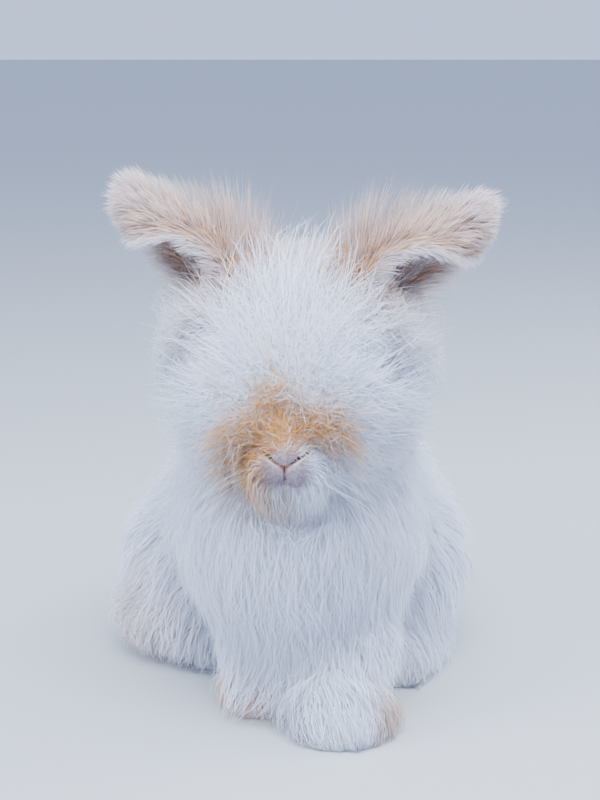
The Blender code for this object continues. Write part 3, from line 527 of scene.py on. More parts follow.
# The hide laid out flat, so that each tuft of wool knows its place on it.
bpy.context.view_layer.objects.active = skin
skin.select_set(True)
skin.data.uv_layers.new(name="OFBake")
bpy.ops.object.mode_set(mode="EDIT")
bpy.ops.mesh.select_all(action="SELECT")
bpy.ops.uv.smart_project(angle_limit=math.radians(72.0), island_margin=0.002)
bpy.ops.object.mode_set(mode="OBJECT")
skin_corners = np.empty(len(skin.data.loops), dtype=np.int64)
skin.data.loops.foreach_get("vertex_index", skin_corners)
skin_corners = skin_corners.reshape(-1, 3)
skin_flat = np.empty(len(skin.data.loops) * 2)
skin.data.uv_layers["OFBake"].uv.foreach_get("vector", skin_flat)
skin_flat = skin_flat.reshape(-1, 3, 2)
triangles = skin_points[skin_corners]
normals = np.cross(triangles[:, 1] - triangles[:, 0], triangles[:, 2] - triangles[:, 0])
areas = np.linalg.norm(normals, axis=1) / 2
normals = unit(normals)
skin_bvh = BVHTree.FromPolygons(skin_points.tolist(), skin_corners.tolist())

# WOOL OF THE HEAD. Very fine angora wool over a pale undercoat, which stands out from the head on all sides.
# Each tuft is a thin closed strand, pointed at both ends. Neighbours are drawn to one tip, as wool clings.
everything = [(form, name) for name, region in REGIONS.items() for form in region.forms]
form_place = [place_of(form, name) for form, name in everything]
SPIN = np.array([place.to_3x3() for place in form_place])
CENTRE = np.array([place.translation for place in form_place])
FLESH = np.array([form.radii for form, _ in everything]) * MM
COAT = np.array([form.coat for form, _ in everything]) * MM
PULL = np.array([
    head_turn.to_3x3() @ Vector(REGIONS[name].pull) if name in ON_HEAD else REGIONS[name].pull
    for _, name in everything
], dtype=float)
AWAY = np.array([REGIONS[name].away for _, name in everything])
SOURCE = np.array([
    head_turn @ (Vector(REGIONS[name].source) * MM) if name in ON_HEAD else Vector(REGIONS[name].source) * MM
    for _, name in everything
])
REGION_OF_FORM = np.array([REGION_NAMES.index(name) for _, name in everything])
BLEND = 5.0 * MM


def body_at(points, share):
    """How far points are outside the body at a share of its coat, the way out, and each mass's say there."""
    local = np.einsum("pfi,fij->pfj", points[:, None, :] - CENTRE, SPIN)
    radii = FLESH + share * COAT
    scaled = local / radii
    size = np.linalg.norm(scaled, axis=2)
    slope = scaled / radii
    steep = np.maximum(np.linalg.norm(slope, axis=2), 1e-6)
    distance = size * (size - 1.0) / steep
    say = np.exp(-(distance - distance.min(axis=1, keepdims=True)) / BLEND)
    say /= say.sum(axis=1, keepdims=True)
    out = np.einsum("pfj,fij->pfi", slope / steep[:, :, None], SPIN)
    return distance.min(axis=1), unit((out * say[:, :, None]).sum(axis=1)), say


def lie_at(points):
    """The way that the coat lies at points, and the way out."""
    _, out, say = body_at(points, 0.5)
    lead = unit(points[:, None, :] - SOURCE) * AWAY[None, :, None] + PULL[None, :, :]
    lie = (lead * say[:, :, None]).sum(axis=1)
    lie -= out * (lie * out).sum(axis=1, keepdims=True)
    return unit(lie), out


def root_flat(points):
    """Where points are on the flat layout of the hide."""
    flat = np.empty((len(points), 2))
    for at, point in enumerate(points):
        found, _, index, _ = skin_bvh.find_nearest(point)
        a, b, c = triangles[index]
        ab, ac, ap = b - a, c - a, np.array(found) - a
        d = np.array([ab @ ab, ab @ ac, ac @ ac, ap @ ab, ap @ ac])
        whole = max(d[0] * d[2] - d[1] * d[1], 1e-18)
        v = (d[2] * d[3] - d[1] * d[4]) / whole
        w = (d[0] * d[4] - d[1] * d[3]) / whole
        flat[at] = skin_flat[index].T @ np.array([1 - v - w, v, w])
    return flat


def sown(count, weight, rng):
    """Roots spread over the hide, thicker where weight is larger, with the ways out and their flat places."""
    chance = areas * weight
    picked = rng.choice(len(areas), count, p=chance / chance.sum())
    u, v = rng.random(count), rng.random(count)
    over = u + v > 1.0
    u[over], v[over] = 1.0 - u[over], 1.0 - v[over]
    share = np.stack((1.0 - u - v, u, v), axis=1)
    roots = (triangles[picked] * share[:, :, None]).sum(axis=1)
    flat = (skin_flat[picked] * share[:, :, None]).sum(axis=1)
    return roots, normals[picked], flat


def drawn_together(paths, size, amount, rng):
    """Paths drawn to their clump's own path towards the tips."""
    count = paths.shape[1]
    guides = rng.choice(count, max(count // size, 1), replace=False)
    tree = KDTree(len(guides))
    for at, guide in enumerate(guides):
        tree.insert(paths[0, guide], at)
    tree.balance()
    own = np.array([guides[tree.find(root)[1]] for root in paths[0]])
    steps = len(paths) - 1
    for step in range(1, steps + 1):
        share = step / steps
        paths[step] += (paths[step, own] - paths[step]) * (amount * share ** 1.2)[:, None]
    return paths


def combed(roots, start, reach, length, depth, layer, rng):
    """Paths of tufts through the coat, between two heights in it, along its lie, with the ways out."""
    _, out = lie_at(roots)
    paths, outs = [roots + out * (depth * start)[:, None]], [out]
    turn = rng.normal(0.0, layer.sway, len(roots))
    before = start
    for step in range(1, layer.steps + 1):
        share = step / layer.steps
        height = start + (reach - start) * (1.0 - (1.0 - share) ** 1.7)
        lie, out = lie_at(paths[-1])
        lie = lie * np.cos(turn)[:, None] + np.cross(out, lie) * np.sin(turn)[:, None]
        lie = unit(lie - np.array((0.0, 0.0, layer.droop * share)))
        point = paths[-1] + lie * (length / layer.steps)[:, None]
        point += out * (depth * (height - before))[:, None]
        below = body_at(point, 0.0)[0]
        above = -body_at(point, 1.0)[0]
        room = np.maximum(below + above, depth * 0.5)
        limit = depth * 0.35 * layer.hold
        point += out * np.clip((height - below / room) * room, -limit, limit)[:, None]
        paths.append(point)
        outs.append(out)
        before = height
    return np.array(paths), np.array(outs)


PATCH = 0.003
SOFTNESS = 0.8
FLOOR_CLEAR = 0.4 * MM


def strands(paths, outs, width, fawn, flat, soft, rng):
    """The points, soft normals, corners, flat places, fawn, height and tone of a batch of tufts."""
    rings, count = len(paths) - 2, paths.shape[1]
    shares = np.linspace(0.0, 1.0, rings + 2)
    profile = np.interp(shares, (0.0, 0.35, 0.7, 1.0), (0.0, 1.0, 0.72, 0.0))
    twist = rng.normal(0.0, 0.5, count)
    rows, shades = [paths[0]], [outs[0]]
    for ring in range(1, rings + 1):
        along = unit(paths[ring + 1] - paths[ring - 1])
        side = unit(np.cross(along, outs[ring]))
        ridge = np.cross(side, along)
        side, ridge = (
            side * np.cos(twist)[:, None] + ridge * np.sin(twist)[:, None],
            ridge * np.cos(twist)[:, None] - side * np.sin(twist)[:, None],
        )
        half = (width * profile[ring] / 2)[:, None]
        for way, share in ((-side, 1.0), (side, 1.0), (ridge, 0.9)):
            rows.append(paths[ring] + way * half * share)
            shades.append(unit(way * (1.0 - soft) + outs[ring] * soft))
    rows.append(paths[-1])
    shades.append(outs[-1])
    points = np.stack(rows, axis=1)
    points[:, :, 2] = np.maximum(points[:, :, 2], FLOOR_CLEAR)
    each = 3 * rings + 2
    faces = []
    for a, b in ((0, 1), (1, 2), (2, 0)):
        faces.append((0, 1 + a, 1 + b))
        for ring in range(rings - 1):
            low, top = 1 + 3 * ring, 4 + 3 * ring
            faces += [(low + b, low + a, top + b), (top + b, low + a, top + a)]
        last = 3 * rings - 2
        faces.append((last + b, last + a, each - 1))
    corners = (np.array(faces)[None] + (np.arange(count) * each)[:, None, None]).reshape(-1)
    heights = np.concatenate(([0.0], np.repeat(shares[1:-1], 3), [1.0]))
    across = np.concatenate(([0.0], np.tile((-0.5, 0.5, 0.0), rings), [0.0]))
    spots = np.stack((across, heights - 0.5), axis=1) * PATCH
    laid = (flat[:, None, :] + spots[None]).reshape(-1, 2)
    return (
        points.reshape(-1, 3), np.stack(shades, axis=1).reshape(-1, 3), corners, laid,
        np.repeat(fawn, each), np.tile(heights, count), np.repeat(rng.random(count), each),
    )


def tufts(name, batches, rng):
    """A piece of many tufts. Each batch has its paths, the ways out along them, each tuft's width, fawn and
    place on the flat hide, and how softly the batch is shaded."""
    parts = [strands(*batch, rng) for batch in batches]
    starts = np.cumsum([0] + [len(part[0]) for part in parts])
    points, shades, laid, fawn, height, tone = (
        np.concatenate([part[at] for part in parts]) for at in (0, 1, 3, 4, 5, 6)
    )
    corners = np.concatenate([part[2] + start for part, start in zip(parts, starts)])
    mesh = bpy.data.meshes.new(name)
    mesh.vertices.add(len(points))
    mesh.vertices.foreach_set("co", points.reshape(-1))
    mesh.loops.add(len(corners))
    mesh.loops.foreach_set("vertex_index", corners)
    mesh.polygons.add(len(corners) // 3)
    mesh.polygons.foreach_set("loop_start", np.arange(0, len(corners), 3))
    mesh.update(calc_edges=True)
    mesh.shade_smooth()
    mesh.uv_layers.new(name="OFBake").uv.foreach_set("vector", laid[corners].reshape(-1))
    for attribute, values in (("fawn", fawn), ("height", height), ("tone", tone)):
        mesh.attributes.new(attribute, "FLOAT", "POINT").data.foreach_set("value", values)
    mesh.normals_split_custom_set_from_vertices(shades.tolist())
    return new_piece(name, mesh, wool)


wool, tree = new_material("angora wool")
# Angora wool: very fine hollow hairs, so it looks matt and bright and lets some light through. Fawn tufts are
# even to the middle of their length and a little paler at the tips; no two tufts have quite the same tone.
fawn_value = add(tree, "ShaderNodeAttribute", attribute_name="fawn").outputs["Fac"]
height_value = add(tree, "ShaderNodeAttribute", attribute_name="height").outputs["Fac"]
tone_value = add(tree, "ShaderNodeAttribute", attribute_name="tone").outputs["Fac"]
fade = add(tree, "ShaderNodeMapRange", {
    "Value": height_value, "From Min": 0.5, "From Max": 1.0, "To Min": 1.0, "To Max": 0.85,
}).outputs["Result"]
spread = add(tree, "ShaderNodeMapRange", {
    "Value": tone_value, "From Min": 0.0, "From Max": 1.0, "To Min": 0.82, "To Max": 1.12,
}).outputs["Result"]
amount = add(tree, "ShaderNodeMath", {0: fawn_value, 1: fade}, operation="MULTIPLY").outputs[0]
amount = add(tree, "ShaderNodeMath", {0: amount, 1: spread}, operation="MULTIPLY", use_clamp=True).outputs[0]
# A strand's shading leans to the coat's own; its inner face, seen from behind, is shaded as facing inwards.
facing = add(tree, "ShaderNodeNewGeometry").outputs
along_true = add(tree, "ShaderNodeVectorMath", {
    0: facing["Normal"], 1: facing["True Normal"],
}, operation="DOT_PRODUCT").outputs["Value"]
way = add(tree, "ShaderNodeMath", {0: along_true}, operation="SIGN").outputs[0]
shade_normal = add(tree, "ShaderNodeVectorMath", {
    "Vector": facing["Normal"], "Scale": way,
}, operation="SCALE").outputs["Vector"]
# The whites carry a cool blue tint: painted light, the blue cast of light in shade, on wool that is white.
white = add(tree, "ShaderNodeMix", {
    0: tone_value, 6: linear("#E1E9FF"), 7: linear("#F2F6FF"),
}, data_type="RGBA").outputs[2]
deep = add(tree, "ShaderNodeMix", {
    0: tone_value, 6: linear("#B46C14"), 7: linear("#E6A038"),
}, data_type="RGBA").outputs[2]
colour = add(tree, "ShaderNodeMix", {0: amount, 6: white, 7: deep}, data_type="RGBA").outputs[2]
surface = add(tree, "ShaderNodeBsdfPrincipled", {
    "Base Color": colour, "Roughness": 0.7, "IOR": 1.45, "Specular IOR Level": 0.2,
    "Sheen Weight": 0.06, "Sheen Roughness": 0.45, "Subsurface Weight": 0.4,
    "Subsurface Radius": (1.0, 1.0, 1.0), "Subsurface Scale": 0.0018, "Normal": shade_normal,
})
add(tree, "ShaderNodeOutputMaterial", {"Surface": surface.outputs[0]})

# Which region each small face of the hide belongs to, and whether it is on an ear.
middles = triangles.mean(axis=1)
face_region = REGION_OF_FORM[body_at(middles, 0.25)[2].argmax(axis=1)]
face_ear = on_ear[skin_corners].max(axis=1) > 0.5
head_middles = moved(middles, head_turn.inverted()) / MM


# A layer of wool: how many tufts, their widths in mm, the heights in the coat where they start and end, how
# far they run along it as a share of its depth and at least in mm, their count of steps, how much they stray
# and curl, how many share a tip and how closely, where they grow if not all over the piece, how much they
# hang, and how closely they keep to the coat's form.
Layer = namedtuple("Layer", "count width start reach run least steps sway curl clump pull where droop hold",
                   defaults=(None, 0.0, 1.0))


def under(count, width=(1.3, 2.4)):
    """The undercoat: broad, short and flat to the hide."""
    return Layer(count, width, (0.0, 0.0), (0.40, 0.66), 0.9, 5.0, 2, 0.35, 0.0, 8, 0.2)


def fill(count, width=(0.35, 0.70), run=1.2, droop=0.0, hold=1.0):
    """The body of the coat."""
    return Layer(count, width, (0.15, 0.4), (0.55, 0.95), run, 6.0, 2, 0.40, 1.0, 12, 0.4, None, droop, hold)


def long_wool(count, width=(0.30, 0.60), run=1.3, clump=18, pull=0.6, reach=(0.72, 1.06), sway=0.3, droop=0.0,
              hold=1.0):
    """The long wool that shows, in clumps."""
    return Layer(count, width, (0.25, 0.45), reach, run, 8.0, 3, sway, 2.0, clump, pull, None, droop, hold)


def wisps(count, reach=(1.0, 1.22), where=None):
    """Stray hairs past the coat."""
    return Layer(count, (0.20, 0.34), (0.35, 0.6), reach, 1.25, 10.0, 3, 0.28, 3.0, 7, 0.65, where)


# Round each eye the wool is short out to SHY_TO mm, and longer wool is pushed out of a narrow way that leads
# sideways from the eye. A share of the hairs stays as it grew, so the eyes lie behind a thick veil of wool.
SHY_TO = 13.0
SHY_FADE = 3.0
SHY_MOST = 0.88
BOLD_SHARE = 0.25
BOLD_SHY = 0.4
SIGHT_WAY = (0.99, 0.10, 0.09)
SIGHT_RADIUS = 7.0
SIGHT_SPREAD = 0.02
SIGHT_LENGTH = 60.0
ASTRAY_SHARE = 0.25


def shy_of_eyes(points):
    """How much the wool keeps short at points near the eyes: most at the lids, 0 well away."""
    shy = np.zeros(len(points))
    for eye_frame in eye_frames.values():
        spots = moved(points, eye_frame.inverted()) / MM
        off = np.linalg.norm(spots, axis=1)
        shy = np.maximum(shy, np.clip((SHY_TO - off) / SHY_FADE, 0.0, 1.0) * SHY_MOST)
    return shy


def parted(paths, rng):
    """Paths pushed out of the way in front of each eye, apart from the share of hairs that stays astray."""
    for side in (1, -1):
        sight = Vector((side * SIGHT_WAY[0], *SIGHT_WAY[1:])).to_track_quat("Z", "Y").to_matrix().to_4x4()
        eye = Matrix.Translation((side * EYE_PLACE.x, EYE_PLACE.y, EYE_PLACE.z))
        sight_frame = head_turn @ eye @ sight
        astray = rng.random(paths.shape[1]) < ASTRAY_SHARE
        aside = rng.uniform(0.0, 2.0, paths.shape[1])
        for step in range(1, len(paths)):
            spots = moved(paths[step], sight_frame.inverted()) / MM
            wide = np.hypot(spots[:, 0], spots[:, 1])
            least = SIGHT_RADIUS + SIGHT_SPREAD * np.clip(spots[:, 2], 0.0, SIGHT_LENGTH) + aside
            push = (spots[:, 2] > 1.0) & (wide < least) & ~astray
            spots[push, :2] *= (least / np.maximum(wide, 0.1))[push, None]
            paths[step, push] = moved(spots[push] * MM, sight_frame)
    return paths


# Some tufts hang loose from their clump, and some are paler than the fawn round them.
LOOSE_SHARE = 0.16
PALE_SHARE = 0.12
PALE_FAWN = 0.4


def grown(name, layers, weight, seed, thin=4.0, more=(), soft=SOFTNESS):
    """A piece of wool on the hide, in layers, where weight says. thin is its coat's least depth in mm."""
    rng = np.random.default_rng(seed)
    batches = []
    for layer in layers:
        roots, _, flat = sown(layer.count, weight if layer.where is None else layer.where, rng)
        near = 1.0 - shy_of_eyes(roots) * np.where(rng.random(layer.count) < BOLD_SHARE, BOLD_SHY, 1.0)
        depth = np.maximum(-body_at(roots, 1.0)[0], thin * MM)
        begin = rng.uniform(*layer.start, layer.count) * near
        tall = rng.uniform(*layer.reach, layer.count) * near
        length = np.maximum(layer.run * depth, layer.least * MM)
        length *= (0.35 + 0.65 * near) * rng.uniform(0.8, 1.25, layer.count)
        paths, outs = combed(roots, begin, tall, length, depth, layer, rng)
        loose = rng.random(layer.count) < LOOSE_SHARE
        pull = np.where(loose, 0.1, layer.pull * rng.uniform(0.7, 1.1, layer.count))
        paths = drawn_together(paths, layer.clump, pull, rng)
        phase = rng.uniform(0, math.tau, (3, layer.count))
        bend = np.minimum(layer.curl * MM, length * 0.07)
        for step in range(1, layer.steps + 1):
            share = step / layer.steps
            wave = np.stack([np.sin(phase[axis] + share * 3.6) for axis in range(3)], axis=1)
            paths[step] += wave * (bend * share)[:, None]
        if name.startswith("wool_head"):
            paths = parted(paths, rng)
        wide = rng.uniform(*layer.width, layer.count) * MM
        fawn = fawn_at(roots) * np.where(rng.random(layer.count) < PALE_SHARE, PALE_FAWN, 1.0)
        batches.append((paths, outs, wide, fawn, flat, soft))
    return tufts(name, batches + list(more), rng)


is_head = (face_region == REGION_NAMES.index("head")) & ~face_ear
is_muzzle = (face_region == REGION_NAMES.index("muzzle")) & ~face_ear
left_side = head_middles[:, 0] > 0
crown = is_head * np.clip((head_middles[:, 2] - 190.0) / 15.0, 0.0, 1.0)
for name, side, seed in (("left", left_side, 11), ("right", ~left_side, 12)):
    grown(f"wool_head_{name}", [
        Layer(2600, (1.2, 2.2), (0.0, 0.0), (0.45, 0.72), 0.7, 5.0, 2, 0.35, 0.0, 8, 0.2),
        Layer(8500, (0.32, 0.55), (0.25, 0.5), (0.60, 0.86), 0.5, 6.0, 2, 1.2, 1.0, 8, 0.25),
        Layer(17500, (0.17, 0.31), (0.48, 0.78), (0.84, 1.03), 0.40, 6.0, 2, 1.3, 2.2, 7, 0.3),
        wisps(800), wisps(450, (1.05, 1.35), crown * side),
    ], is_head & side, seed)

# WOOL OF THE MUZZLE. Dense fawn wool stands on the bridge of the nose. Longer wool, fawn on the rabbit's
# right, springs from the whisker pads and the chin and hangs past the mouth. Stiff whiskers grow among it.
nose_off = np.linalg.norm(head_middles - np.array((0.0, -121.0, 147.0)), axis=1)
beside_nose = np.clip((nose_off - 7.5) / 3.5, 0.0, 1.0)
off_lines = off_nose_lines(middles)
clear_of_lines = np.clip((off_lines - 1.0) / 1.5, 0.0, 1.0)
below_nose = np.clip((148.0 - head_middles[:, 2]) / 5.0, 0.0, 1.3) + 0.4 * (np.abs(head_middles[:, 0]) > 7.0)
hanging = beside_nose * np.clip((30.0 - nose_off) / 8.0, 0.0, 1.0) * below_nose
hanging = hanging * ~face_ear * (head_middles[:, 1] < -84.0) * clear_of_lines
under_lip = ~face_ear * (head_middles[:, 2] < 140.5) * (head_middles[:, 1] < -90.0)
under_lip = under_lip * (np.abs(head_middles[:, 0]) < 17)
on_bridge = is_muzzle * beside_nose * (head_middles[:, 2] > 152.0) * clear_of_lines
moustache = Layer(
    3300, (0.24, 0.46), (0.1, 0.5), (0.95, 1.25), 0.0, 25.0, 3, 0.22, 1.2, 14, 0.5, hanging, 0.9, 0.7,
)
beard = Layer(
    900, (0.24, 0.44), (0.05, 0.3), (0.3, 0.9), 0.0, 34.0, 3, 0.35, 1.2, 12, 0.4, under_lip, 1.5, 0.2,
)
bridge = Layer(4200, (0.20, 0.38), (0.0, 0.35), (0.45, 0.95), 0.0, 7.0, 3, 0.9, 3.0, 14, 0.6, on_bridge)
rng = np.random.default_rng(15)
whisker_count = 16
side = np.where(np.arange(whisker_count) % 2 == 0, 1.0, -1.0)
start = np.stack((
    side * rng.uniform(9.5, 13.0, whisker_count), rng.uniform(-119.0, -110.0, whisker_count),
    rng.uniform(143.0, 152.0, whisker_count),
), axis=1) * MM
aim = unit(np.stack((
    side, rng.uniform(-0.35, 0.25, whisker_count), rng.uniform(-0.6, 0.1, whisker_count),
), axis=1))
long = rng.uniform(32.0, 46.0, whisker_count)[:, None] * MM
paths = np.array([
    moved(start + aim * long * s + np.array((0.0, 0.25, -0.30)) * long * s * s, head_turn)
    for s in np.linspace(0.0, 1.0, 6)
])
outs = np.tile(np.array((0.0, -0.6, 0.8)), (6, whisker_count, 1))
whiskers = (paths, outs, np.full(whisker_count, 0.16 * MM), np.zeros(whisker_count), root_flat(paths[0]), 0.4)
grown("wool_muzzle", [
    under(1400, (0.8, 1.5)), fill(3600, (0.26, 0.50)), moustache, beard, bridge,
], is_muzzle * beside_nose * clear_of_lines, 13, more=[whiskers])

# VELVET OF THE NOSE. A pile of the shortest hairs on the nose and lips, under four millimetres long, which
# lie almost flat to the skin.
rng = np.random.default_rng(14)
velvet_weight = is_muzzle * np.clip((13.5 - nose_off) / 4.0, 0.0, 1.0) * (head_middles[:, 1] < -103.0)
velvet_weight = velvet_weight * np.clip((off_lines - 0.9) / 0.8, 0.0, 1.0)
roots, root_out, flat = sown(6000, velvet_weight, rng)
lie, _ = lie_at(roots)
lie = unit(lie + rng.normal(0.0, 0.4, lie.shape))
length = rng.uniform(1.4, 3.4, len(roots))[:, None] * MM
paths = np.array([
    roots, roots + (root_out * 0.30 + lie * 0.35) * length, roots + (root_out * 0.38 + lie) * length,
])
outs = np.array([root_out] * 3)
fine_width = rng.uniform(0.13, 0.24, len(roots)) * MM
velvet_fawn = np.clip(fawn_at(roots), 0.0, 0.8)
velvet = tufts("velvet_nose", [(paths, outs, fine_width, velvet_fawn, flat, 0.5)], rng)
nose_velvet, tree = new_material("velvet of the nose")
# Velvet: so short and thin that the skin shows through it, dusky lilac on the lips and brownish up the nose.
fawn_value = add(tree, "ShaderNodeAttribute", attribute_name="fawn").outputs["Fac"]
tone_value = add(tree, "ShaderNodeAttribute", attribute_name="tone").outputs["Fac"]
lilac = add(tree, "ShaderNodeMix", {
    0: tone_value, 6: linear("#776877"), 7: linear("#B6AAB9"),
}, data_type="RGBA").outputs[2]
brown = add(tree, "ShaderNodeMix", {
    0: tone_value, 6: linear("#805E42"), 7: linear("#B08760"),
}, data_type="RGBA").outputs[2]
colour = add(tree, "ShaderNodeMix", {0: fawn_value, 6: lilac, 7: brown}, data_type="RGBA").outputs[2]
surface = add(tree, "ShaderNodeBsdfPrincipled", {
    "Base Color": colour, "Roughness": 0.75, "IOR": 1.45, "Specular IOR Level": 0.2, "Sheen Weight": 0.05,
})
add(tree, "ShaderNodeOutputMaterial", {"Surface": surface.outputs[0]})
velvet.data.materials[0] = nose_velvet

# WOOL OF THE BIB. The longest wool of the front, which falls from the throat over the breast in soft locks.
is_bib = face_region == REGION_NAMES.index("bib")
grown("wool_bib", [
    under(3400), fill(8600, (0.28, 0.56), 1.4), long_wool(9800, (0.20, 0.40), 1.5, 34, 0.75, sway=0.42),
    wisps(600, (0.95, 1.14)),
], is_bib, 21)

# WOOL OF THE TRUNK. It lies back and down from the shoulders over the back and flanks.
is_trunk = face_region == REGION_NAMES.index("trunk")
grown("wool_trunk", [
    under(4000, (1.8, 3.2)), fill(6500, (0.45, 0.9), 1.5), long_wool(7000, (0.38, 0.76), 1.5, 26, 0.7),
    wisps(800, (1.0, 1.16)),
], is_trunk, 22)

# WOOL OF THE HAUNCHES. A skirt that hangs over the hind feet almost to the floor.
is_haunch = face_region == REGION_NAMES.index("haunch")
body_left = middles[:, 0] > 0
skirt = [
    under(2200, (1.7, 3.0)), fill(3800, (0.38, 0.80), 1.5, 0.3, 0.6),
    long_wool(4300, (0.34, 0.68), 1.6, 24, 0.7, droop=0.5, hold=0.5), wisps(450, (0.98, 1.14)),
]
grown("wool_haunch_left", skirt, is_haunch & body_left, 23)
grown("wool_haunch_right", skirt, is_haunch & ~body_left, 24)

# WOOL OF THE FORELEGS. It hangs down the legs to the paws.
is_foreleg = (face_region == REGION_NAMES.index("foreleg")) | (face_region == REGION_NAMES.index("fall"))
grown("wool_forelegs", [
    under(1900), fill(3800, run=1.2), long_wool(4100, (0.32, 0.62), 1.25, 22, 0.65), wisps(300, (0.95, 1.1)),
], is_foreleg, 25)

# WOOL OF THE PAWS. Shorter, springy wool that makes a round ball of each forepaw and covers the claws.
is_forepaw = face_region == REGION_NAMES.index("forepaw")
is_hindfoot = face_region == REGION_NAMES.index("hindfoot")
upper_paw = is_forepaw * (middles[:, 2] > 6.0 * MM) * (normals[:, 1] < 0.4)
low_paw = is_forepaw * (middles[:, 2] < 7.0 * MM) * (middles[:, 2] > 1.0 * MM) * (normals[:, 1] < 0.3)
rim = Layer(1500, (0.22, 0.40), (0.2, 0.6), (0.8, 1.2), 0.0, 8.0, 2, 0.5, 0.6, 8, 0.3, low_paw, 0.3, 0.3)
fringe = Layer(
    2200, (0.24, 0.44), (0.6, 0.9), (1.0, 1.25), 0.0, 17.0, 3, 0.3, 1.5, 10, 0.5, upper_paw, 0.8, 0.5,
)
grown("wool_forepaws", [
    under(1300, (1.0, 1.8)), fill(3600, (0.28, 0.52), 1.0, 0.5, 0.4),
    long_wool(2000, (0.26, 0.48), 1.2, 12, 0.5, sway=0.35, droop=0.8, hold=0.3),
    fringe, rim, wisps(250, (1.0, 1.2)),
], is_forepaw, 26, thin=8.0)
upper_foot = is_hindfoot * (middles[:, 2] > 6.0 * MM)
low_foot = is_hindfoot * (middles[:, 2] < 7.0 * MM) * (middles[:, 2] > 1.0 * MM) * (middles[:, 1] < 12.0 * MM)
low_rim = Layer(1300, (0.22, 0.40), (0.2, 0.6), (0.8, 1.2), 0.0, 8.0, 2, 0.5, 0.6, 8, 0.3, low_foot, 0.3, 0.3)
fringe = Layer(
    900, (0.24, 0.44), (0.6, 0.9), (1.0, 1.25), 0.0, 16.0, 3, 0.3, 1.5, 10, 0.5, upper_foot, 0.8, 0.5,
)
grown("wool_hindfeet", [
    under(900, (1.0, 1.8)), fill(2400, (0.30, 0.56), 1.0, 0.4, 0.5),
    long_wool(1900, (0.28, 0.52), 1.3, 12, 0.5, (0.8, 1.2), 0.35, 0.6, 0.4), fringe, low_rim,
], is_hindfoot, 27, thin=9.0, soft=0.5)

# WOOL OF THE TAIL. A round tuft held up against the rump.
is_tail = face_region == REGION_NAMES.index("tail")
grown("wool_tail", [under(800), fill(1500), long_wool(1500), wisps(150)], is_tail, 28)

# WOOL OF THE EARS. Cream wool stands thick on the back of each ear and grows longer towards its root, where
# it rises in wisps to the crown. It fringes the edges and the tip, and a few long hairs cross the bare cup.
# Each layer: count, stretch along the ear, stretch from front edge to rear edge, whether it is in the cup,
# how it leads along the ear, towards the nearer edge and outwards, its length and width in mm, steps, clump,
# pull and how fawn and how softly shaded it is.
EarLayer = namedtuple(
    "EarLayer", "count share across inner along edge out length width steps clump pull fawn soft",
)
EAR_LAYERS = [EarLayer(*row) for row in (
    (3000, (0.0, 1.0), (-1.0, 1.0), 0, 1.0, 0.7, 0.35, (8, 13), (0.42, 0.75), 2, 9, 0.4, 1.1, 0.35),
    (3500, (0.0, 1.0), (-0.75, 1.0), 0, 0.75, 0.3, 0.75, (13, 20), (0.28, 0.55), 2, 12, 0.5, 1.0, 0.35),
    (1700, (0.0, 0.95), (-0.35, 0.9), 0, 0.65, 0.1, 0.85, (19, 27), (0.22, 0.42), 3, 10, 0.65, 0.8, 0.3),
    (700, (0.0, 0.32), (-0.6, 0.8), 0, 1.0, 0.0, 0.45, (26, 38), (0.24, 0.42), 3, 9, 0.6, 0.9, 0.3),
    (900, (0.1, 1.0), (-1.0, -0.9), 0, 0.75, 1.0, 0.25, (9, 15), (0.24, 0.45), 2, 9, 0.55, 0.5, 0.1),
    (800, (0.1, 1.0), (0.9, 1.0), 0, 0.75, 1.0, 0.25, (10, 17), (0.24, 0.45), 2, 9, 0.55, 0.6, 0.1),
    (600, (0.88, 1.0), (-1.0, 1.0), 0, 1.0, 0.3, 0.3, (9, 16), (0.24, 0.45), 3, 8, 0.5, 0.6, 0.2),
    (500, (0.05, 0.9), (-1.0, -0.8), 1, 0.8, -0.3, 0.5, (4, 8), (0.22, 0.40), 2, 6, 0.4, 0.6, 0.1),
    (500, (0.05, 0.9), (0.8, 1.0), 1, 0.8, -0.3, 0.5, (4, 8), (0.22, 0.40), 2, 6, 0.4, 0.6, 0.1),
    (900, (0.38, 1.0), (-0.95, 0.95), 1, 1.0, 0.0, 0.22, (5, 9), (0.24, 0.42), 2, 6, 0.3, 0.35, 0.1),
    (60, (0.08, 0.2), (-0.8, 0.8), 1, 1.0, 0.0, 0.35, (16, 26), (0.24, 0.36), 3, 5, 0.4, 0.3, 0.1),
)]
for side, name in ((1, "left"), (-1, "right")):
    rng = np.random.default_rng(31 + side)
    place = ear_place(side)
    batches = []
    for layer in EAR_LAYERS:
        share = rng.uniform(*layer.share, layer.count)
        across = rng.uniform(*layer.across, layer.count)
        point, out, sideways, along = ear_at(share, across, float(layer.inner))
        roots = moved(point, place)
        out = moved(out, place, True) * (1 - 2 * layer.inner)
        sideways, along = moved(sideways, place, True), moved(along, place, True)
        lead = along * layer.along + sideways * (across * layer.edge)[:, None] + out * layer.out
        lead = unit(lead + rng.normal(0.0, 0.2, lead.shape))
        length = rng.uniform(*layer.length, layer.count) * (1.70 - 1.20 * share) * MM
        paths = []
        for s in np.linspace(0.0, 1.0, layer.steps + 1):
            path = roots + (lead * s + along * (0.18 * s * s)) * length[:, None]
            path[:, 2] -= length * 0.12 * s * s
            paths.append(path)
        pull = layer.pull * rng.uniform(0.4, 1.1, layer.count)
        paths = drawn_together(np.array(paths), layer.clump, pull, rng)
        fawn = EAR_FAWN * layer.fawn * (1.3 - 0.5 * share) * rng.uniform(0.8, 1.2, layer.count)
        outs = np.array([out] * (layer.steps + 1))
        wide = rng.uniform(*layer.width, layer.count) * MM
        batches.append((paths, outs, wide, fawn, root_flat(roots), layer.soft))
    tufts(f"wool_ear_{name}", batches, rng)

# EYES. Dark brown eyes under a clear, wet cornea, deep in the wool at the sides of the head.
EYE_RINGS = 40
eye_wet, tree = new_material("wet brown eye")
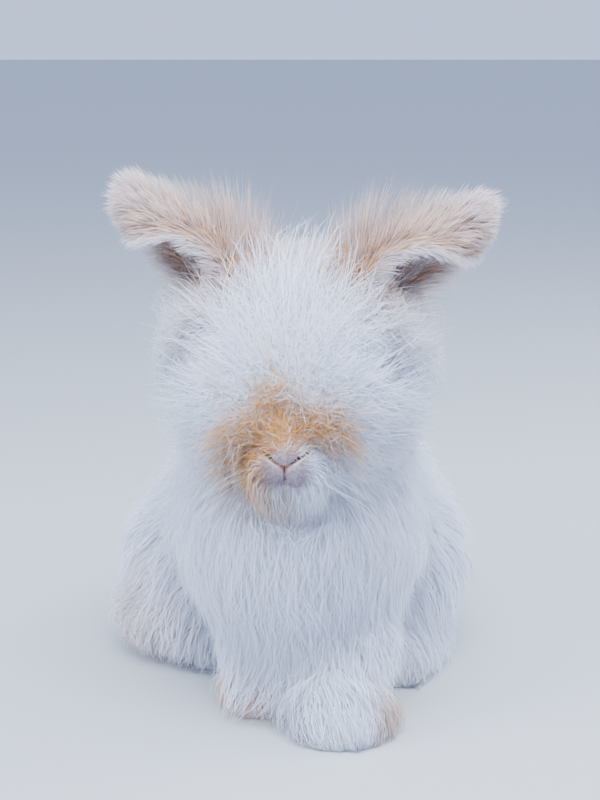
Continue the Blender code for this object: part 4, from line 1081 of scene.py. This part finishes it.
# A wet eye: near black at the pupil, dark brown iris with fine spokes, and one hard clear highlight.
gaze = add(tree, "ShaderNodeAttribute", attribute_name="gaze").outputs["Fac"]
coordinates = add(tree, "ShaderNodeTexCoord").outputs["Object"]
spokes = add(tree, "ShaderNodeTexNoise", {"Vector": coordinates, "Scale": 900.0, "Detail": 2.0})
iris = add(tree, "ShaderNodeMix", {
    0: spokes.outputs["Fac"], 6: linear("#24130A"), 7: linear("#4A2B17"),
}, data_type="RGBA").outputs[2]
in_pupil = add(tree, "ShaderNodeMapRange", {
    "Value": gaze, "From Min": 0.30, "From Max": 0.36, "To Min": 1.0, "To Max": 0.0,
}).outputs["Result"]
in_white = add(tree, "ShaderNodeMapRange", {
    "Value": gaze, "From Min": 0.82, "From Max": 0.95, "To Min": 0.0, "To Max": 1.0,
}).outputs["Result"]
colour = add(tree, "ShaderNodeMix", {
    0: in_pupil, 6: iris, 7: linear("#060404"),
}, data_type="RGBA").outputs[2]
colour = add(tree, "ShaderNodeMix", {
    0: in_white, 6: colour, 7: linear("#5A4A44"),
}, data_type="RGBA").outputs[2]
surface = add(tree, "ShaderNodeBsdfPrincipled", {
    "Base Color": colour, "Roughness": 0.12, "IOR": 1.38, "Coat Weight": 1.0, "Coat Roughness": 0.02,
})
add(tree, "ShaderNodeOutputMaterial", {"Surface": surface.outputs[0]})
for name, eye_frame in eye_frames.items():
    bm = bmesh.new()
    bmesh.ops.create_uvsphere(bm, u_segments=48, v_segments=EYE_RINGS, radius=EYE_RADIUS)
    gazes = [math.acos(max(-1.0, min(1.0, vert.co.z / EYE_RADIUS))) for vert in bm.verts]
    for vert in bm.verts:
        flat_off = math.hypot(vert.co.x, vert.co.y)
        vert.co.z += 0.35 * MM * math.exp(-(flat_off / (4.5 * MM)) ** 4) * (vert.co.z > 0)
    bmesh.ops.transform(bm, matrix=eye_frame, verts=bm.verts)
    mesh = bpy.data.meshes.new(f"eyeball_{name}")
    bm.to_mesh(mesh)
    bm.free()
    mesh.attributes.new("gaze", "FLOAT", "POINT").data.foreach_set("value", gazes)
    mesh.shade_smooth()
    eyeball = new_piece(f"eyeball_{name}", mesh, eye_wet)
    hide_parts(f"eye_{name}")

# CLAWS. Short horn claws, one to a toe, all but lost in the wool of the feet.
horn, tree = new_material("horn of the claws")
# Horn: smooth, with fine lengthwise streaks.
coordinates = add(tree, "ShaderNodeTexCoord").outputs["Object"]
streaks = add(tree, "ShaderNodeTexNoise", {"Vector": coordinates, "Scale": 1500.0, "Detail": 2.0})
colour = add(tree, "ShaderNodeMix", {
    0: streaks.outputs["Fac"], 6: linear("#A88A78"), 7: linear("#D9C4B2"),
}, data_type="RGBA").outputs[2]
bump = add(tree, "ShaderNodeBump", {"Height": streaks.outputs["Fac"], "Strength": 0.2, "Distance": 0.0001})
surface = add(tree, "ShaderNodeBsdfPrincipled", {
    "Base Color": colour, "Roughness": 0.35, "IOR": 1.55, "Normal": bump.outputs["Normal"],
})
add(tree, "ShaderNodeOutputMaterial", {"Surface": surface.outputs[0]})
for name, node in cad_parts.items():
    if name.startswith("claw_"):
        for place in node.material_slots:
            place.material = horn

# STAGE. A plain pale floor, a soft sky and three broad lamps. The camera stands where the photograph's did.
floor_mesh = bpy.data.meshes.new("floor")
floor_mesh.from_pydata(
    [(x, y, -0.0004) for x, y in ((-20, -20), (20, -20), (20, 20), (-20, 20))], [], [(0, 1, 2, 3)]
)
floor = bpy.data.objects.new("floor", floor_mesh)
bpy.context.scene.collection.objects.link(floor)
floor_paint, tree = new_material("matt floor paint")
surface = add(tree, "ShaderNodeBsdfPrincipled", {"Base Color": linear("#B9BDBF"), "Roughness": 0.9})
add(tree, "ShaderNodeOutputMaterial", {"Surface": surface.outputs[0]})
floor_mesh.materials.append(floor_paint)
world = bpy.data.worlds.new("soft sky")
bpy.context.scene.world = world
world.use_nodes = True
world.node_tree.nodes["Background"].inputs["Color"].default_value = linear("#C3D4FE")
world.node_tree.nodes["Background"].inputs["Strength"].default_value = 1.45
for name, spot, size, power in (
    ("lamp_over", (0.1, -0.8, 1.5), 1.5, 72.0),
    ("lamp_left", (-1.2, -0.7, 0.8), 1.1, 21.0),
    ("lamp_right", (1.2, 0.3, 0.9), 1.1, 19.0),
):
    lamp = bpy.data.lights.new(name, "AREA")
    lamp.shape = "DISK"
    lamp.size = size
    lamp.energy = power
    lamp.color = (0.84, 0.90, 1.0)
    holder = bpy.data.objects.new(name, lamp)
    bpy.context.scene.collection.objects.link(holder)
    holder.location = spot
    holder.rotation_euler = (Vector((0, 0, 0.12)) - Vector(spot)).to_track_quat("-Z", "Y").to_euler()
camera_data = bpy.data.cameras.new("camera")
camera_data.lens = 75.0
camera = bpy.data.objects.new("camera", camera_data)
bpy.context.scene.collection.objects.link(camera)
camera.location = Vector((0.0, -0.880, 0.350)) + Vector((SET_DOWN.x, SET_DOWN.y, 0.0))
camera.rotation_euler = (math.radians(90.0 - 12.5), 0.0, 0.0)
bpy.context.scene.camera = camera
